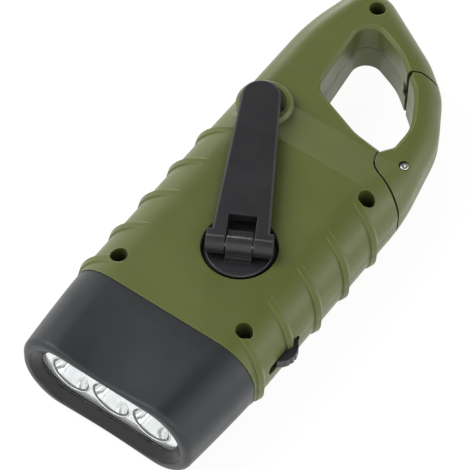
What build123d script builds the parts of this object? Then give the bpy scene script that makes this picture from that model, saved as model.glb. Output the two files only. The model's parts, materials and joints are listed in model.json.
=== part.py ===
"""Hand crank flashlight with three lamps and a snap-hook ring.

The housing is two moulded half shells with a black head in front and a ring behind.
+Z leaves the front face, where the crank lies folded; -Y is the way the light shines.
The crank shaft's axis is X = HUB_X, Y = 0, and Z = 0 is the flat back. Millimetres.
"""
from build123d import *
from math import asin, atan2, cos, degrees, pi, radians, sin, tan
import os

# ---------------------------------------------------------------- driving dimensions
# Housing
BODY_WIDTH = 54.0
BODY_THICK = 24.8
SHOULDER_R = 11.0
WALL = 2.0
HEAD_JOINT = 25.8        # crank axis to the joint between head and housing
NECK_START = 33.0        # crank axis to where the body begins to thin
NECK_LENGTH = 13.0
NECK_STEPS = 2           # spans between the sections that the neck's surface passes through
RING_THICK = 17.26
RING_EDGE_R = 6.5
RING_REACH = 92.6        # crank axis to the far end of the ring
RING_INSET = 3.4         # the hollow's upright wall inside the ring's rounded edge
RIM_CHAMFER = 0.9        # on the ring opening's rims

# Raised grip ribs on both shoulders
RIB_COUNT = 5
RIB_PITCH = 12.2
RIB_FIRST = -19.2        # the rib nearest the head, over the shoulder's centre line
RIB_SLANT = 22.0         # degrees, towards the head as the rib goes down the side
RIB_RISE = 0.75          # above the side wall
RIB_FADE = 0.2           # below the front face, where the rib sinks in
RIB_CROWN = 1.5          # width of the rib's flat crown
RIB_FLANK = (1.1, 1.4)   # run and fall of each sloping flank

# Thumb scoop, a shallow cone round the ring opening
SCOOP_X = 9.0
SCOOP_Y = 63.8
SCOOP_OUTER_R = 29.3
SCOOP_INNER_R = 17.2

# Head
HEAD_LENGTH = 24.7
HEAD_NOSE_WIDTH = 50.4
HEAD_WAIST = 1.3         # how far the nose's long sides are drawn in at the middle
HEAD_RIM_CHAMFER = 1.2
HEAD_WALL = 2.0
WINDOW_LENGTH = 40.6
WINDOW_HEIGHT = 14.4
WINDOW_DEPTH = 2.7       # from the head's rim back to the clear window
WINDOW_FLARE = 1.9       # how much wider the recess is at the rim, each side
LENS_THICK = 1.4
LENS_LAP = 1.3           # how far the clear window reaches behind the lip
SEAL_WIDTH = 1.0
SEAL_THICK = 0.6
HEAD_STEP = 0.15         # the head stands this much inside the housing's outline
FLANGE_THICK = 1.0
SPIGOT_LENGTH = 3.0
SPIGOT_WALL = 1.4
SPIGOT_SEAT = 3.5        # depth of the seat inside the shells for the spigot

# Lamps
LAMP_COUNT = 3
LAMP_PITCH = 12.07
CUP_MOUTH_R = 6.0
CUP_THROAT_R = 2.9
CUP_DEPTH = 8.0
CUP_STEPS = 2            # cones that follow the cup's curve
REFLECTOR_LENGTH = 38.6
REFLECTOR_HEIGHT = 13.6
LED_R = 2.5
LED_LENGTH = 5.4
LED_FLANGE = 0.9
BOARD_THICK = 1.2

# Crank
HUB_X = 3.85
HUB_DISC_R = 8.7
HUB_DISC_THICK = 2.0
HUB_RECESS_GAP = 1.0
HUB_RECESS_DEPTH = 2.9
HUB_SINK = 0.25          # top of the disc below the front face
SHAFT_R = 3.0
BUSH_WALL = 1.2
HINGE_BACK = 1.4         # hinge axis behind the crank axis, seen along the folded arm
HINGE_RISE = 2.5         # hinge axis above the front face
KNUCKLE_R = 2.35
KNUCKLE_SPAN = 16.6
HUB_KNUCKLE = 6.4
KNUCKLE_GAP = 0.4
HINGE_PIN_R = 0.8
ARM_ANGLE = 118.5        # degrees from +X, folded
ARM_REACH = 49.0         # crank axis to the arm's tip
ARM_BASE_WIDTH = 14.4
ARM_TIP_R = 5.0
ARM_THICK = 2.6
ARM_EDGE = 0.5           # chamfer on the arm's upper edges
ARM_ABOVE_AXIS = 2.1     # arm's top above the hinge axis
ARM_WINDOW = 6.4         # far end of the arm's window from the crank axis
KNOB_R = 4.8
KNOB_THICK = 1.3
KNOB_SCREW_R = 1.1
KNOB_HEAD_R = 2.1
KNOB_HEAD_THICK = 0.5
POCKET_ALONG = 45.9      # crank axis to the pocket, along the folded arm
POCKET_R = 5.7
POCKET_DEPTH = 8.5
POCKET_WALL = 1.7
POCKET_ANGLE = 117.5     # degrees from +X
KNOB_LIFT = 0.15         # gap between the knob and the arm
KNOB_BORE = 1.8          # depth of the knob screw's hole in the arm
SEAT_R = 2.2             # shaft's end that carries the drive gear
HUB_SCREW_R = 0.9
HUB_SCREW_HEAD_R = 2.6

# Snap-hook gate
PIN_X = 21.3
PIN_Y = 47.1
FOOT_R = 7.4
GATE_GAP = 0.6
GATE_PIN_R = 1.0
GATE_LINE_ANGLE = -21.8  # degrees, the straight edge of the foot
GATE_RELIEF = (4.7, 71.9)  # the ring's tip is cut back to here, so that the gate's corner swings past
GATE_OPEN = 20.0         # degrees of travel
LUG_R = 3.5
LUG_THICK = 1.9
LUG_CLEAR = 0.3
LUG_ANGLE = 205.0        # degrees, from the pin towards the body
SPRING_ROOM = 2.4        # between the tongue's two halves
SPRING_WIRE_R = 0.3
SPRING_TURNS = 2.0
PIN_SINK = 1.0           # pin's ends below the ring's faces
SLOT_SWEEP = 16.0        # degrees of ring left open beyond the nose, towards the opening
NOSE_REACH = 31.6        # gate pin to the end of the gate's nose
NOSE_THICK = 4.4
NOSE_FROM = 111.0        # degrees round the pin
NOSE_TO = 117.0

# Slide switch on the +X side
SLOT_FRONT = -20.0
SLOT_REAR = -6.9
SLOT_HEIGHT = 3.0
SLOT_CENTRE = 1.5        # above the parting plane
SLIDER_LENGTH = 8.4
SLIDER_PROUD = 2.6
SLIDER_TRAVEL = 3.0
SLIDER_REAR_GAP = 1.4
SLIDER_RIDGES = 5
SLIDER_PLATE = 0.5
SLIDER_PLATE_HALF = 1.8  # half the plate's height

# Gear train: a driving gear, two compound idlers, and the generator's pinion
DRIVE_MODULE = 0.75
FINE_MODULE = 0.6
DRIVE_TEETH = 40
PINION_TEETH = 10
WHEEL_1_TEETH = 36
WHEEL_2_TEETH = 32
ROTOR_TEETH = 8
GEAR_WIDTH = 1.6
ADDENDUM = 0.85          # in modules
DEDENDUM = 1.2           # in modules
BACKLASH = 0.2           # in modules, off each tooth
GEAR_STEP = 0.7          # gap between gears on neighbouring levels
MESH_SLACK = 0.08        # added to each centre distance
IDLER_1_ANGLE = 110.0    # degrees, from the drive gear
IDLER_2_ANGLE = 225.0    # from idler 1
ROTOR_ANGLE = 285.0      # from idler 2
AXLE_R = 1.0
RUN_GAP = 0.05           # running clearance on every axle, pin and shaft
PLATE_Z = 8.8
PLATE_THICK = 1.3
PEG_R = 1.0              # pegs that hold the gear plate
POST_FOOT = 0.5          # height inside the rear wall where its posts start

# Generator
MAGNET_R = 6.5
MAGNET_THICK = 3.6
AIR_GAP = 0.6
POLE_COUNT = 6
STATOR_R = 10.8
STATOR_THICK = 3.0
STATOR_MIDDLE = 5.4      # height of the generator's middle
POLE_WIDTH = 2.6
ROTOR_LOW = 1.2          # end of the shaft's socket in the rear shell
COIL_THICK = 1.0
ROTOR_SHAFT_R = 0.75

# Cells, boards and switch inside
CELL_R = 5.4
CELL_LENGTH = 4.2
CELL_COUNT = 3
CELL_X = 1.6
CELL_Y = -17.2
CHARGE_BOARD = (12.0, 24.0)
CHARGE_BOARD_X = 16.0
CHARGE_BOARD_Y = 11.0
BOARD_Z = 5.0
SWITCH_X = 21.9
SWITCH_THICK = 1.5
SWITCH_LOW = 11.4
PEG_HALF = 0.6

# Screws that hold the two shells together, from the front
SCREW_R = 1.1
SCREW_HEAD_R = 1.95
SCREW_HEAD_THICK = 1.3
SCREW_LENGTH = 9.0
WELL_R = 2.25
BOSS_WALL = 1.2
SHELL_SCREWS = [(-18.8, -19.1), (18.8, -19.1), (20.4, 31.1), (-12.6, 85.4)]

# ---------------------------------------------------------------- worked-out sizes
HALF_W = BODY_WIDTH / 2
HALF_T = BODY_THICK / 2
MID = HALF_T
TOP = BODY_THICK
RING_HALF = RING_THICK / 2
RING_TOP = MID + RING_HALF
NECK_END = NECK_START + NECK_LENGTH
NOSE_Y = -HEAD_JOINT - HEAD_LENGTH
AXIS_Z = TOP + HINGE_RISE
PIN = (PIN_X, PIN_Y)
HUB_TOP = TOP - HUB_SINK
RECESS_FLOOR = TOP - HUB_RECESS_DEPTH
DRIVE_TOP = RECESS_FLOOR - WALL - 0.5
LEVEL_1 = DRIVE_TOP - GEAR_WIDTH
LEVEL_2 = LEVEL_1 - GEAR_STEP - GEAR_WIDTH
LEVEL_3 = LEVEL_2 - GEAR_STEP - GEAR_WIDTH
PLATE_TOP = PLATE_Z + PLATE_THICK
AXLE_1_TOP = DRIVE_TOP + 1.8
POCKET_RIM = TOP - 0.4
STATOR_LOW = STATOR_MIDDLE - STATOR_THICK / 2
STATOR_HIGH = STATOR_MIDDLE + STATOR_THICK / 2
LENS_Y = NOSE_Y + WINDOW_DEPTH
MIDDLE = (Align.CENTER, Align.CENTER, Align.MIN)


# ---------------------------------------------------------------- small helpers
def rod(radius, low, high, x=0.0, y=0.0):
    """Upright cylinder between two heights."""
    return Pos(x, y, low) * Cylinder(radius, high - low, align=MIDDLE)


def block(x0, x1, y0, y1, z0, z1):
    """Box between corner coordinates."""
    return Pos((x0 + x1) / 2, (y0 + y1) / 2, (z0 + z1) / 2) * Box(x1 - x0, y1 - y0, z1 - z0)


def post(half, low, high, x, y):
    """Square post between two heights."""
    return block(x - half, x + half, y - half, y + half, low, high)


def slab(outline, low, high):
    """A plan outline carried up between two heights."""
    return extrude(Pos(0, 0, low) * outline, amount=high - low, dir=(0, 0, 1))


def polar(radius, angle, centre=(0.0, 0.0)):
    """Point at a distance and an angle in degrees from a centre."""
    return (centre[0] + radius * cos(radians(angle)), centre[1] + radius * sin(radians(angle)))


def mirrored(shape):
    """The same shape on the other side of the parting plane."""
    return mirror(shape, about=Plane.XY.offset(MID))


def lying(radius, length, centre, direction):
    """Cylinder about an axis through centre along direction."""
    return Plane(origin=centre, z_dir=direction) * Cylinder(radius, length)


# ---------------------------------------------------------------- plan outlines
def rounded(corners):
    """Closed outline through corners, each a place and the radius of the arc that rounds it."""
    places = [Vector(*place) for place, _ in corners]
    parts = []
    joints = []
    for number, (_, radius) in enumerate(corners):
        here = places[number]
        back = (places[number - 1] - here).normalized()
        ahead = (places[(number + 1) % len(places)] - here).normalized()
        half = radians(back.get_angle(ahead)) / 2
        reach = radius / tan(half)
        middle = here + (back + ahead).normalized() * (radius / sin(half) - radius)
        joints.append((here + back * reach, middle, here + ahead * reach))
    for number, (enter, middle, leave) in enumerate(joints):
        following = joints[(number + 1) % len(joints)][0]
        if (leave - enter).length > 1e-6:
            parts.append(ThreePointArc(enter, middle, leave).edge())
        parts.append(Line(leave, following).edge())
    return make_face(parts)


def ring_corners(reach):
    """Corners of the housing's plan from the right side round the ring to the left side.

    Each is a place and the radius that rounds it.
    """
    return [
        ((HALF_W, 40.0), 60.0),
        ((HALF_W - 4.35, reach - 30.9), 25.0),
        ((HALF_W - 11.5, reach - 18.3), 20.0),
        ((HALF_W - 19.3, reach - 11.55), 30.0),
        ((-HALF_W + 14.8, reach), 9.0),
        ((-HALF_W + 4.95, reach), 6.5),
        ((-HALF_W, reach - 19.8), 60.0),
    ]


def housing_plan(start):
    """Plan of housing and ring together, from Y = start to the ring's far end."""
    base = [((-HALF_W, start), 0.0), ((HALF_W, start), 0.0)]
    return rounded(base + ring_corners(RING_REACH))


def opening_plan():
    """Plan of the ring's opening, with its gate side on the right."""
    corners = [
        ((-13.6, 82.3), 4.5),
        ((0.4, 76.7), 20.0),
        ((10.5, 68.3), 15.0),
        ((15.95, 58.4), 12.0),
        ((15.95, 50.8), 2.2),
        ((13.6, 47.5), 1.0),
        ((5.2, 48.7), 12.0),
        ((-10.6, 54.85), 4.5),
    ]
    return rounded(corners)


def gate_zone(extra=0.0):
    """Plan of the space that the gate fills, grown by extra on every side."""
    foot = FOOT_R + extra
    normal = GATE_LINE_ANGLE - 90
    touch = polar(foot, normal, PIN)
    far = 34.0
    line_end = (far, touch[1] + (far - touch[0]) * tan(radians(GATE_LINE_ANGLE)))
    start = polar(foot, 165.0, PIN)
    side = polar(foot, 215.0, PIN)
    seam = Vector(-extra * 0.25, extra)
    swing = (6.5, 66.0) if extra == 0 else GATE_RELIEF
    outline = Polyline(
        start,
        (11.5, 53.0),
        swing,
        (6.8 - extra, 73.2 + extra * 0.6),
        (8.3 + seam.X, 74.15 + seam.Y),
        (12.6 + seam.X, 74.75 + seam.Y),
        (17.0 + seam.X, 78.5 + seam.Y),
        (far, 78.5 + seam.Y),
        line_end,
        touch,
    )
    return make_face(outline + ThreePointArc(touch, side, start))


# ---------------------------------------------------------------- the housing's outer form
def side_at(y):
    """X of the housing's right side at Y, where the ring outline begins to turn in."""
    (corner, radius), (following, _) = ring_corners(RING_REACH)[:2]
    lean = atan2(corner[0] - following[0], following[1] - corner[1])
    run = radius * tan(lean / 2)
    if y <= corner[1] - run:
        return corner[0]
    if y <= corner[1] + run * cos(lean):
        return corner[0] - radius + (radius**2 - (y - corner[1] + run) ** 2) ** 0.5
    return corner[0] - (y - corner[1]) * tan(lean)


def half_section(y, left, right, half_t, radius):
    """Upper half of the rounded cross-section, standing at Y."""
    centre = (right - left) / 2
    profile = Pos(centre, half_t / 2) * Rectangle(left + right, half_t)
    profile = fillet(profile.vertices().group_by(Axis.Y)[-1], radius)
    return Plane(origin=(0, y, MID), x_dir=(1, 0, 0), z_dir=(0, -1, 0)) * profile


def body_part():
    """Upper half of the straight part of the body."""
    section = half_section(-HEAD_JOINT, HALF_W, HALF_W, HALF_T, SHOULDER_R)
    return extrude(section, amount=HEAD_JOINT + NECK_START, dir=(0, 1, 0))


def neck_part():
    """Upper half of the part that thins smoothly from the body to the ring."""
    sections = []
    for step in range(NECK_STEPS + 1):
        share = step / NECK_STEPS
        ease = share * share * (3 - 2 * share)
        y = NECK_START + NECK_LENGTH * share
        half_t = HALF_T + (RING_HALF - HALF_T) * ease
        radius = SHOULDER_R + (RING_EDGE_R - SHOULDER_R) * ease
        sections.append(half_section(y, HALF_W, side_at(y), half_t, radius))
    return loft(sections)


def ring_part():
    """Upper half of the ring, as a plate with a rounded outer edge and no opening yet."""
    plate = slab(housing_plan(NECK_START), MID, RING_TOP)
    rim = plate.edges().group_by(Axis.Z)[-1]
    rim = rim.filter_by(lambda e: e.center().Y > NECK_START + 0.5)
    return fillet(rim, RING_EDGE_R)


def scoop(sink):
    """The space over the thumb scoop, a shallow cone that opens upwards."""
    low = RING_TOP - sink
    high = TOP - sink
    over = TOP + 5
    profile = make_face(
        Polyline(
            (0, low), (SCOOP_INNER_R, low), (SCOOP_OUTER_R, high),
            (SCOOP_OUTER_R, over), (0, over), close=True,
        )
    )
    return Pos(SCOOP_X, SCOOP_Y, 0) * revolve(Plane.XZ * profile, Axis.Z)


def upper_form():
    """Upper half of housing and ring as one solid."""
    return body_part() + neck_part() + ring_part() - scoop(0.0)


def rib(side, y):
    """One raised rib that runs over a shoulder and straight down to the parting plane."""
    crown_r = SHOULDER_R - RIB_FADE
    level = HALF_T - SHOULDER_R
    outward = (SHOULDER_R + RIB_RISE) / cos(radians(RIB_SLANT))
    run, fall = RIB_FLANK
    half = RIB_CROWN / 2
    profile = make_face(
        Polyline(
            (crown_r, -half), (crown_r, half), (crown_r - fall, half + run),
            (crown_r - 2 * fall, half + run), (crown_r - 2 * fall, -half - run),
            (crown_r - fall, -half - run), close=True,
        )
    )
    bend = revolve(profile, Axis((0, 0, 0), (0, -1, 0)), 90)
    bead = Pos(outward - crown_r, 0, 0) * (bend + slab(profile, -level, 0))
    turn = -RIB_SLANT if side > 0 else 180 + RIB_SLANT
    return Pos(side * (HALF_W - SHOULDER_R), y, MID + level) * Rot(0, 0, turn) * bead


def ribs():
    """The raised beads on both shoulders of one shell."""
    beads = []
    for number in range(RIB_COUNT):
        for side in (-1, 1):
            beads.append(rib(side, RIB_FIRST + RIB_PITCH * number))
    return beads


def pierced_form():
    """Upper half of housing and gate together, with the ring's opening and its rounded rim."""
    opening = opening_plan()
    form = upper_form() - slab(opening, 0, TOP + 1)
    border = Pos(0, 0, RING_TOP) * opening.face().outer_wire()
    rim = form.edges().filter_by(lambda e: border.distance_to(Vertex(*(e @ 0.5))) < 0.05)
    return chamfer(rim, RIM_CHAMFER)


def inner_section(y, right, half_t, radius):
    """Upper half of the hollow's cross-section at Y, its corners drawn as three chords."""
    left = HALF_W - WALL
    turns = [0, 30, 60, 90]
    corner = [polar(radius, turn, (right - radius, half_t - radius)) for turn in turns]
    far_corner = [polar(radius, 180 - turn, (radius - left, half_t - radius)) for turn in reversed(turns)]
    outline = Polyline((right, 0), *corner, *far_corner, (-left, 0), close=True)
    return Plane(origin=(0, y, MID), x_dir=(1, 0, 0), z_dir=(0, -1, 0)) * make_face(outline)


def hollow():
    """The space inside one shell, clear of the gate, the opening and the gate's nose."""
    body = inner_section(-HEAD_JOINT, HALF_W - WALL, HALF_T - WALL, SHOULDER_R - WALL)
    neck = [
        inner_section(NECK_START, HALF_W - WALL, HALF_T - WALL, SHOULDER_R - WALL),
        inner_section(NECK_END, side_at(NECK_END) - WALL, RING_HALF - WALL, RING_EDGE_R - WALL),
    ]
    nose_end = slab(Pos(*PIN) * Circle(NOSE_REACH + WALL), 0, TOP)
    nose_end = nose_end & block(-HALF_W, HALF_W, PIN_Y + FOOT_R + 8, RING_REACH, 0, TOP)
    ring = slab(offset(housing_plan(NECK_START), -RING_INSET), MID, RING_TOP - WALL)
    space = extrude(body, amount=HEAD_JOINT + NECK_START, dir=(0, 1, 0)) + loft(neck, ruled=True)
    space = space + bar(HALF_W - WALL, HALF_T - WALL, -HEAD_JOINT, SPIGOT_SEAT - HEAD_JOINT)
    space = space + ring - scoop(WALL)
    space = space - slab(gate_zone(GATE_GAP + WALL), 0, TOP)
    return space - slab(offset(opening_plan(), WALL), 0, TOP) - nose_end


# ---------------------------------------------------------------- shell features
def screw_boss(x, y):
    """Boss round a screw's well in the front shell."""
    return rod(WELL_R + BOSS_WALL, MID, TOP, x, y)


def screw_well(x, y):
    """Well for a screw and its head, with the clearance hole under it."""
    return rod(WELL_R, MID + WALL, TOP + 1, x, y) + rod(SCREW_R + 0.15, MID - 1, TOP, x, y)


def pocket_place():
    """Centre of the knob's pocket, under the folded arm's tip."""
    return polar(POCKET_ALONG, POCKET_ANGLE, (HUB_X, 0))


def lug():
    """Half of the housing's tongue, round the gate's pin."""
    low = MID + SPRING_ROOM / 2
    high = low + LUG_THICK
    neck = Pos(*PIN) * Rot(0, 0, LUG_ANGLE) * block(0, FOOT_R + 3, -LUG_R, LUG_R, low, high)
    return rod(LUG_R, low, high, *PIN) + neck - rod(GATE_PIN_R, 0, TOP, *PIN)


def nose_zone(grow):
    """Plan of the gate's nose about its pin; grow makes the slot that it swings out of."""
    reach = NOSE_REACH + grow
    first = NOSE_FROM - degrees(grow / reach)
    last = NOSE_TO + (SLOT_SWEEP if grow else 0.0)
    inner = NOSE_REACH - 6.0
    outline = Polyline(polar(reach, first, PIN), polar(inner, first, PIN), polar(inner, last, PIN),
                       polar(reach, last, PIN))
    back = ThreePointArc(polar(reach, last, PIN), polar(reach, (first + last) / 2, PIN),
                         polar(reach, first, PIN))
    return make_face(outline + back)


def slot_cut():
    """The slide switch's slot through the +X side wall, with round ends."""
    z = MID + SLOT_CENTRE
    radius = SLOT_HEIGHT / 2
    low, high = HALF_W - 2 * WALL, HALF_W + 3
    middle = block(low, high, SLOT_FRONT + radius, SLOT_REAR - radius, z - radius, z + radius)
    ends = [lying(radius, high - low, ((low + high) / 2, y, z), (1, 0, 0))
            for y in (SLOT_FRONT + radius, SLOT_REAR - radius)]
    return middle + ends[0] + ends[1]


# ---------------------------------------------------------------- the two shells
def front_shell(form):
    """Front half shell with the crank's recess, the knob's pocket and the screw wells."""
    outer = form
    for bead in ribs():
        outer = outer + bead
    outer = outer - slab(gate_zone(GATE_GAP), 0, TOP + 1)
    pocket = pocket_place()
    pocket_low = TOP - POCKET_DEPTH
    posts = rod(HUB_DISC_R + HUB_RECESS_GAP + WALL, RECESS_FLOOR - WALL, TOP, HUB_X, 0)
    posts = posts + rod(POCKET_R + POCKET_WALL, pocket_low - WALL, TOP, *pocket)
    posts = posts + post(AXLE_R + 1.4, AXLE_1_TOP - 1.2, TOP - WALL / 2, *idler_1_place())
    for x, y in SHELL_SCREWS:
        posts = posts + screw_boss(x, y)
    shell = (outer - hollow()) + (posts & form)
    collar = rod(POCKET_R + POCKET_WALL, MID + 6, POCKET_RIM, *pocket)
    collar = chamfer(collar.edges().group_by(Axis.Z)[-1], POCKET_WALL * 0.5)
    shell = shell + collar - rod(POCKET_R, pocket_low, TOP + 1, *pocket)
    shell = shell - rod(HUB_DISC_R + HUB_RECESS_GAP, RECESS_FLOOR, TOP + 1, HUB_X, 0)
    shell = shell - rod(SHAFT_R + RUN_GAP + BUSH_WALL, MID, TOP, HUB_X, 0)
    shell = shell - rod(AXLE_R, MID, AXLE_1_TOP, *idler_1_place())
    for x, y in SHELL_SCREWS:
        shell = shell - screw_well(x, y)
    shell = shell - slot_cut() + lug()
    return shell - slab(nose_zone(LUG_CLEAR), MID - 1, MID + NOSE_THICK / 2 + LUG_CLEAR)


def rear_shell(form):
    """Rear half shell with the posts that carry everything inside."""
    outer = form
    for bead in ribs():
        outer = outer + bead
    outer = mirrored(outer - slab(gate_zone(GATE_GAP), 0, TOP + 1))
    posts = post(ROTOR_SHAFT_R + 1.6, POST_FOOT, WALL + 0.8, *rotor_place())
    for x, y in SHELL_SCREWS:
        posts = posts + post(SCREW_R + 1.6, POST_FOOT, MID, x, y)
    for x, y in plate_posts():
        posts = posts + post(2.0, POST_FOOT, PLATE_Z, x, y) + rod(PEG_R, POST_FOOT, PLATE_TOP + 0.5, x, y)
    for x, y in board_posts():
        posts = posts + post(1.4, POST_FOOT, BOARD_Z, x, y)
    for x, y in stator_posts():
        posts = posts + post(0.8, POST_FOOT, STATOR_LOW, x, y)
    posts = posts + cell_saddles() + switch_shelf()
    shell = (outer - mirrored(hollow())) + (posts & mirrored(form))
    for x, y in SHELL_SCREWS:
        shell = shell - rod(SCREW_R, MID - SCREW_LENGTH + WALL, MID + 1, x, y)
    shell = shell - rod(ROTOR_SHAFT_R + RUN_GAP, ROTOR_LOW, MID, *rotor_place())
    shell = shell + mirrored(lug())
    return shell - slab(nose_zone(LUG_CLEAR), MID - NOSE_THICK / 2 - LUG_CLEAR, MID + 1)


def shell_screw(x, y):
    """One self-tapping screw, its head on the floor of the well."""
    seat = MID + WALL
    return rod(SCREW_HEAD_R, seat, seat + SCREW_HEAD_THICK, x, y) + rod(
        SCREW_R, seat - SCREW_LENGTH, seat, x, y
    )


# ---------------------------------------------------------------- snap-hook gate
def carabiner_gate(form):
    """The gate: a forked foot round the housing's tongue, an arm, and a nose at its tip."""
    half = form & slab(gate_zone(), 0, TOP + 1)
    gate = half + mirrored(half)
    low = MID - SPRING_ROOM / 2 - LUG_THICK - LUG_CLEAR
    high = MID + SPRING_ROOM / 2 + LUG_THICK + LUG_CLEAR
    width = LUG_R + LUG_CLEAR
    gate = gate - rod(width, low, high, *PIN)
    for swing in (0, GATE_OPEN / 2, GATE_OPEN + 2):
        room = Rot(0, 0, LUG_ANGLE - swing) * block(0, 2 * FOOT_R, -width, width, low, high)
        gate = gate - Pos(*PIN) * room
    gate = gate - rod(GATE_PIN_R + RUN_GAP, 0, TOP, *PIN)
    for z in (MID - RING_HALF, MID + RING_HALF - PIN_SINK):
        gate = gate - rod(GATE_PIN_R + 0.5, z, z + PIN_SINK, *PIN)
    nose = slab(nose_zone(0.0), MID - NOSE_THICK / 2, MID + NOSE_THICK / 2)
    return gate + nose


def gate_pin():
    """Plain steel pin, sunk a little below both faces."""
    return rod(GATE_PIN_R, MID - RING_HALF + PIN_SINK, MID + RING_HALF - PIN_SINK, *PIN)


def gate_spring():
    """Small torsion spring round the pin, between the tongue's two halves."""
    height = SPRING_ROOM - 2 * SPRING_WIRE_R - 0.2
    pitch = height / SPRING_TURNS
    radius = GATE_PIN_R + SPRING_WIRE_R + 0.25
    path = Helix(pitch, height, radius)
    wire = sweep(Plane(origin=path @ 0, z_dir=path % 0) * RegularPolygon(SPRING_WIRE_R, 6), path)
    return Pos(PIN_X, PIN_Y, MID - height / 2) * wire


# ---------------------------------------------------------------- crank
def arm_frame():
    """Plane along the folded arm: local X runs to the tip, Z up, origin over the crank axis."""
    return Location((HUB_X, 0, 0), (0, 0, ARM_ANGLE))


def crank_hub():
    """Disc with its hinge knuckle on top, and the shaft that turns the drive gear."""
    low = HUB_TOP - HUB_DISC_THICK
    disc = rod(HUB_DISC_R, low, HUB_TOP)
    disc = chamfer(disc.edges().group_by(Axis.Z)[-1], 0.35)
    barrel = lying(KNUCKLE_R, HUB_KNUCKLE, (-HINGE_BACK, 0, AXIS_Z), (0, 1, 0))
    half = HUB_KNUCKLE / 2
    web = block(-HINGE_BACK - KNUCKLE_R, -HINGE_BACK + KNUCKLE_R, -half, half, HUB_TOP - 0.5, AXIS_Z)
    toe = block(-HINGE_BACK - KNUCKLE_R - 0.8, -HINGE_BACK, -half, half, HUB_TOP - 0.5, AXIS_Z - 0.9)
    heel = block(-HINGE_BACK, 2.3, -half, half, HUB_TOP - 0.5, AXIS_Z + 1.0)
    shaft = rod(SHAFT_R, DRIVE_TOP + 0.2, low) + rod(SEAT_R, DRIVE_TOP - GEAR_WIDTH, low)
    flat = block(SEAT_R - 0.5, SEAT_R + 1, -SEAT_R, SEAT_R, DRIVE_TOP - GEAR_WIDTH, DRIVE_TOP)
    hub = disc + barrel + web + toe + heel + shaft - flat
    hub = hub - lying(HINGE_PIN_R, HUB_KNUCKLE + 1, (-HINGE_BACK, 0, AXIS_Z), (0, 1, 0))
    hub = hub - rod(HUB_SCREW_R, DRIVE_TOP - GEAR_WIDTH, DRIVE_TOP + 4)
    return arm_frame() * hub


def crank_arm():
    """Flat tapering arm with two hinge knuckles and a window for the hub's knuckle."""
    top = AXIS_Z + ARM_ABOVE_AXIS
    low = top - ARM_THICK
    tip = ARM_REACH - ARM_TIP_R
    base = ARM_BASE_WIDTH / 2
    lean = asin((base - ARM_TIP_R) / tip)
    shoulder = (tip + ARM_TIP_R * sin(lean), ARM_TIP_R * cos(lean))
    sides = Polyline((shoulder[0], shoulder[1]), (0.6, base), (0.6, -base), (shoulder[0], -shoulder[1]))
    end = ThreePointArc((shoulder[0], -shoulder[1]), (ARM_REACH, 0), shoulder)
    plate = slab(make_face(sides + end), low, top)
    plate = chamfer(plate.edges().group_by(Axis.Z)[-1].filter_by(lambda e: e.center().X > 3), ARM_EDGE)
    window = HUB_KNUCKLE / 2 + KNUCKLE_GAP
    plate = plate - block(-9, ARM_WINDOW, -window, window, 0, top + 1)
    length = KNUCKLE_SPAN / 2 - window
    for side in (-1, 1):
        centre = (-HINGE_BACK, side * (window + length / 2), AXIS_Z)
        plate = plate + lying(KNUCKLE_R, length, centre, (0, 1, 0))
        bridge = block(-HINGE_BACK, 1.5, -length / 2, length / 2, AXIS_Z - 0.5, AXIS_Z + ARM_ABOVE_AXIS)
        plate = plate + Pos(0, centre[1], 0) * bridge
    plate = plate - lying(HINGE_PIN_R + RUN_GAP, KNUCKLE_SPAN + 1, (-HINGE_BACK, 0, AXIS_Z), (0, 1, 0))
    plate = plate - rod(KNOB_SCREW_R, low - 1, low + KNOB_BORE, tip, 0)
    return arm_frame() * plate


def crank_hinge_pin():
    """Pin through all three knuckles, tight in the hub's."""
    length = KNUCKLE_SPAN - 0.6
    return arm_frame() * lying(HINGE_PIN_R, length, (-HINGE_BACK, 0, AXIS_Z), (0, 1, 0))


def crank_knob():
    """Low round finger button that turns on its screw under the arm's tip."""
    arm_low = AXIS_Z + ARM_ABOVE_AXIS - ARM_THICK
    high = arm_low - KNOB_LIFT
    low = high - KNOB_THICK
    knob = rod(KNOB_R, low, high)
    knob = chamfer(knob.edges().group_by(Axis.Z)[0], 0.4)
    knob = knob - rod(KNOB_SCREW_R + RUN_GAP, low - 1, high + 1)
    knob = knob - rod(KNOB_HEAD_R + 0.2, low - 1, low + KNOB_HEAD_THICK + 0.1)
    return arm_frame() * (Pos(ARM_REACH - ARM_TIP_R, 0, 0) * knob)


def knob_screw():
    """Shouldered screw that holds the knob to the arm."""
    arm_low = AXIS_Z + ARM_ABOVE_AXIS - ARM_THICK
    low = arm_low - KNOB_LIFT - KNOB_THICK
    screw = rod(KNOB_SCREW_R, low, arm_low + KNOB_BORE - 0.1) + rod(KNOB_HEAD_R, low, low + KNOB_HEAD_THICK)
    return arm_frame() * (Pos(ARM_REACH - ARM_TIP_R, 0, 0) * screw)


def hub_bush():
    """Flanged bush, pressed into the recess's floor."""
    outer = SHAFT_R + RUN_GAP + BUSH_WALL
    flange = rod(outer + 1.2, RECESS_FLOOR, RECESS_FLOOR + 0.5, HUB_X, 0)
    sleeve = rod(outer, RECESS_FLOOR - WALL, RECESS_FLOOR, HUB_X, 0)
    return flange + sleeve - rod(SHAFT_R + RUN_GAP, MID, TOP, HUB_X, 0)


def hub_screw():
    """Screw under the drive gear that holds it on the shaft's end."""
    low = DRIVE_TOP - GEAR_WIDTH
    return rod(HUB_SCREW_HEAD_R, low - 0.6, low, HUB_X, 0) + rod(HUB_SCREW_R, low, low + 4, HUB_X, 0)


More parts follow.
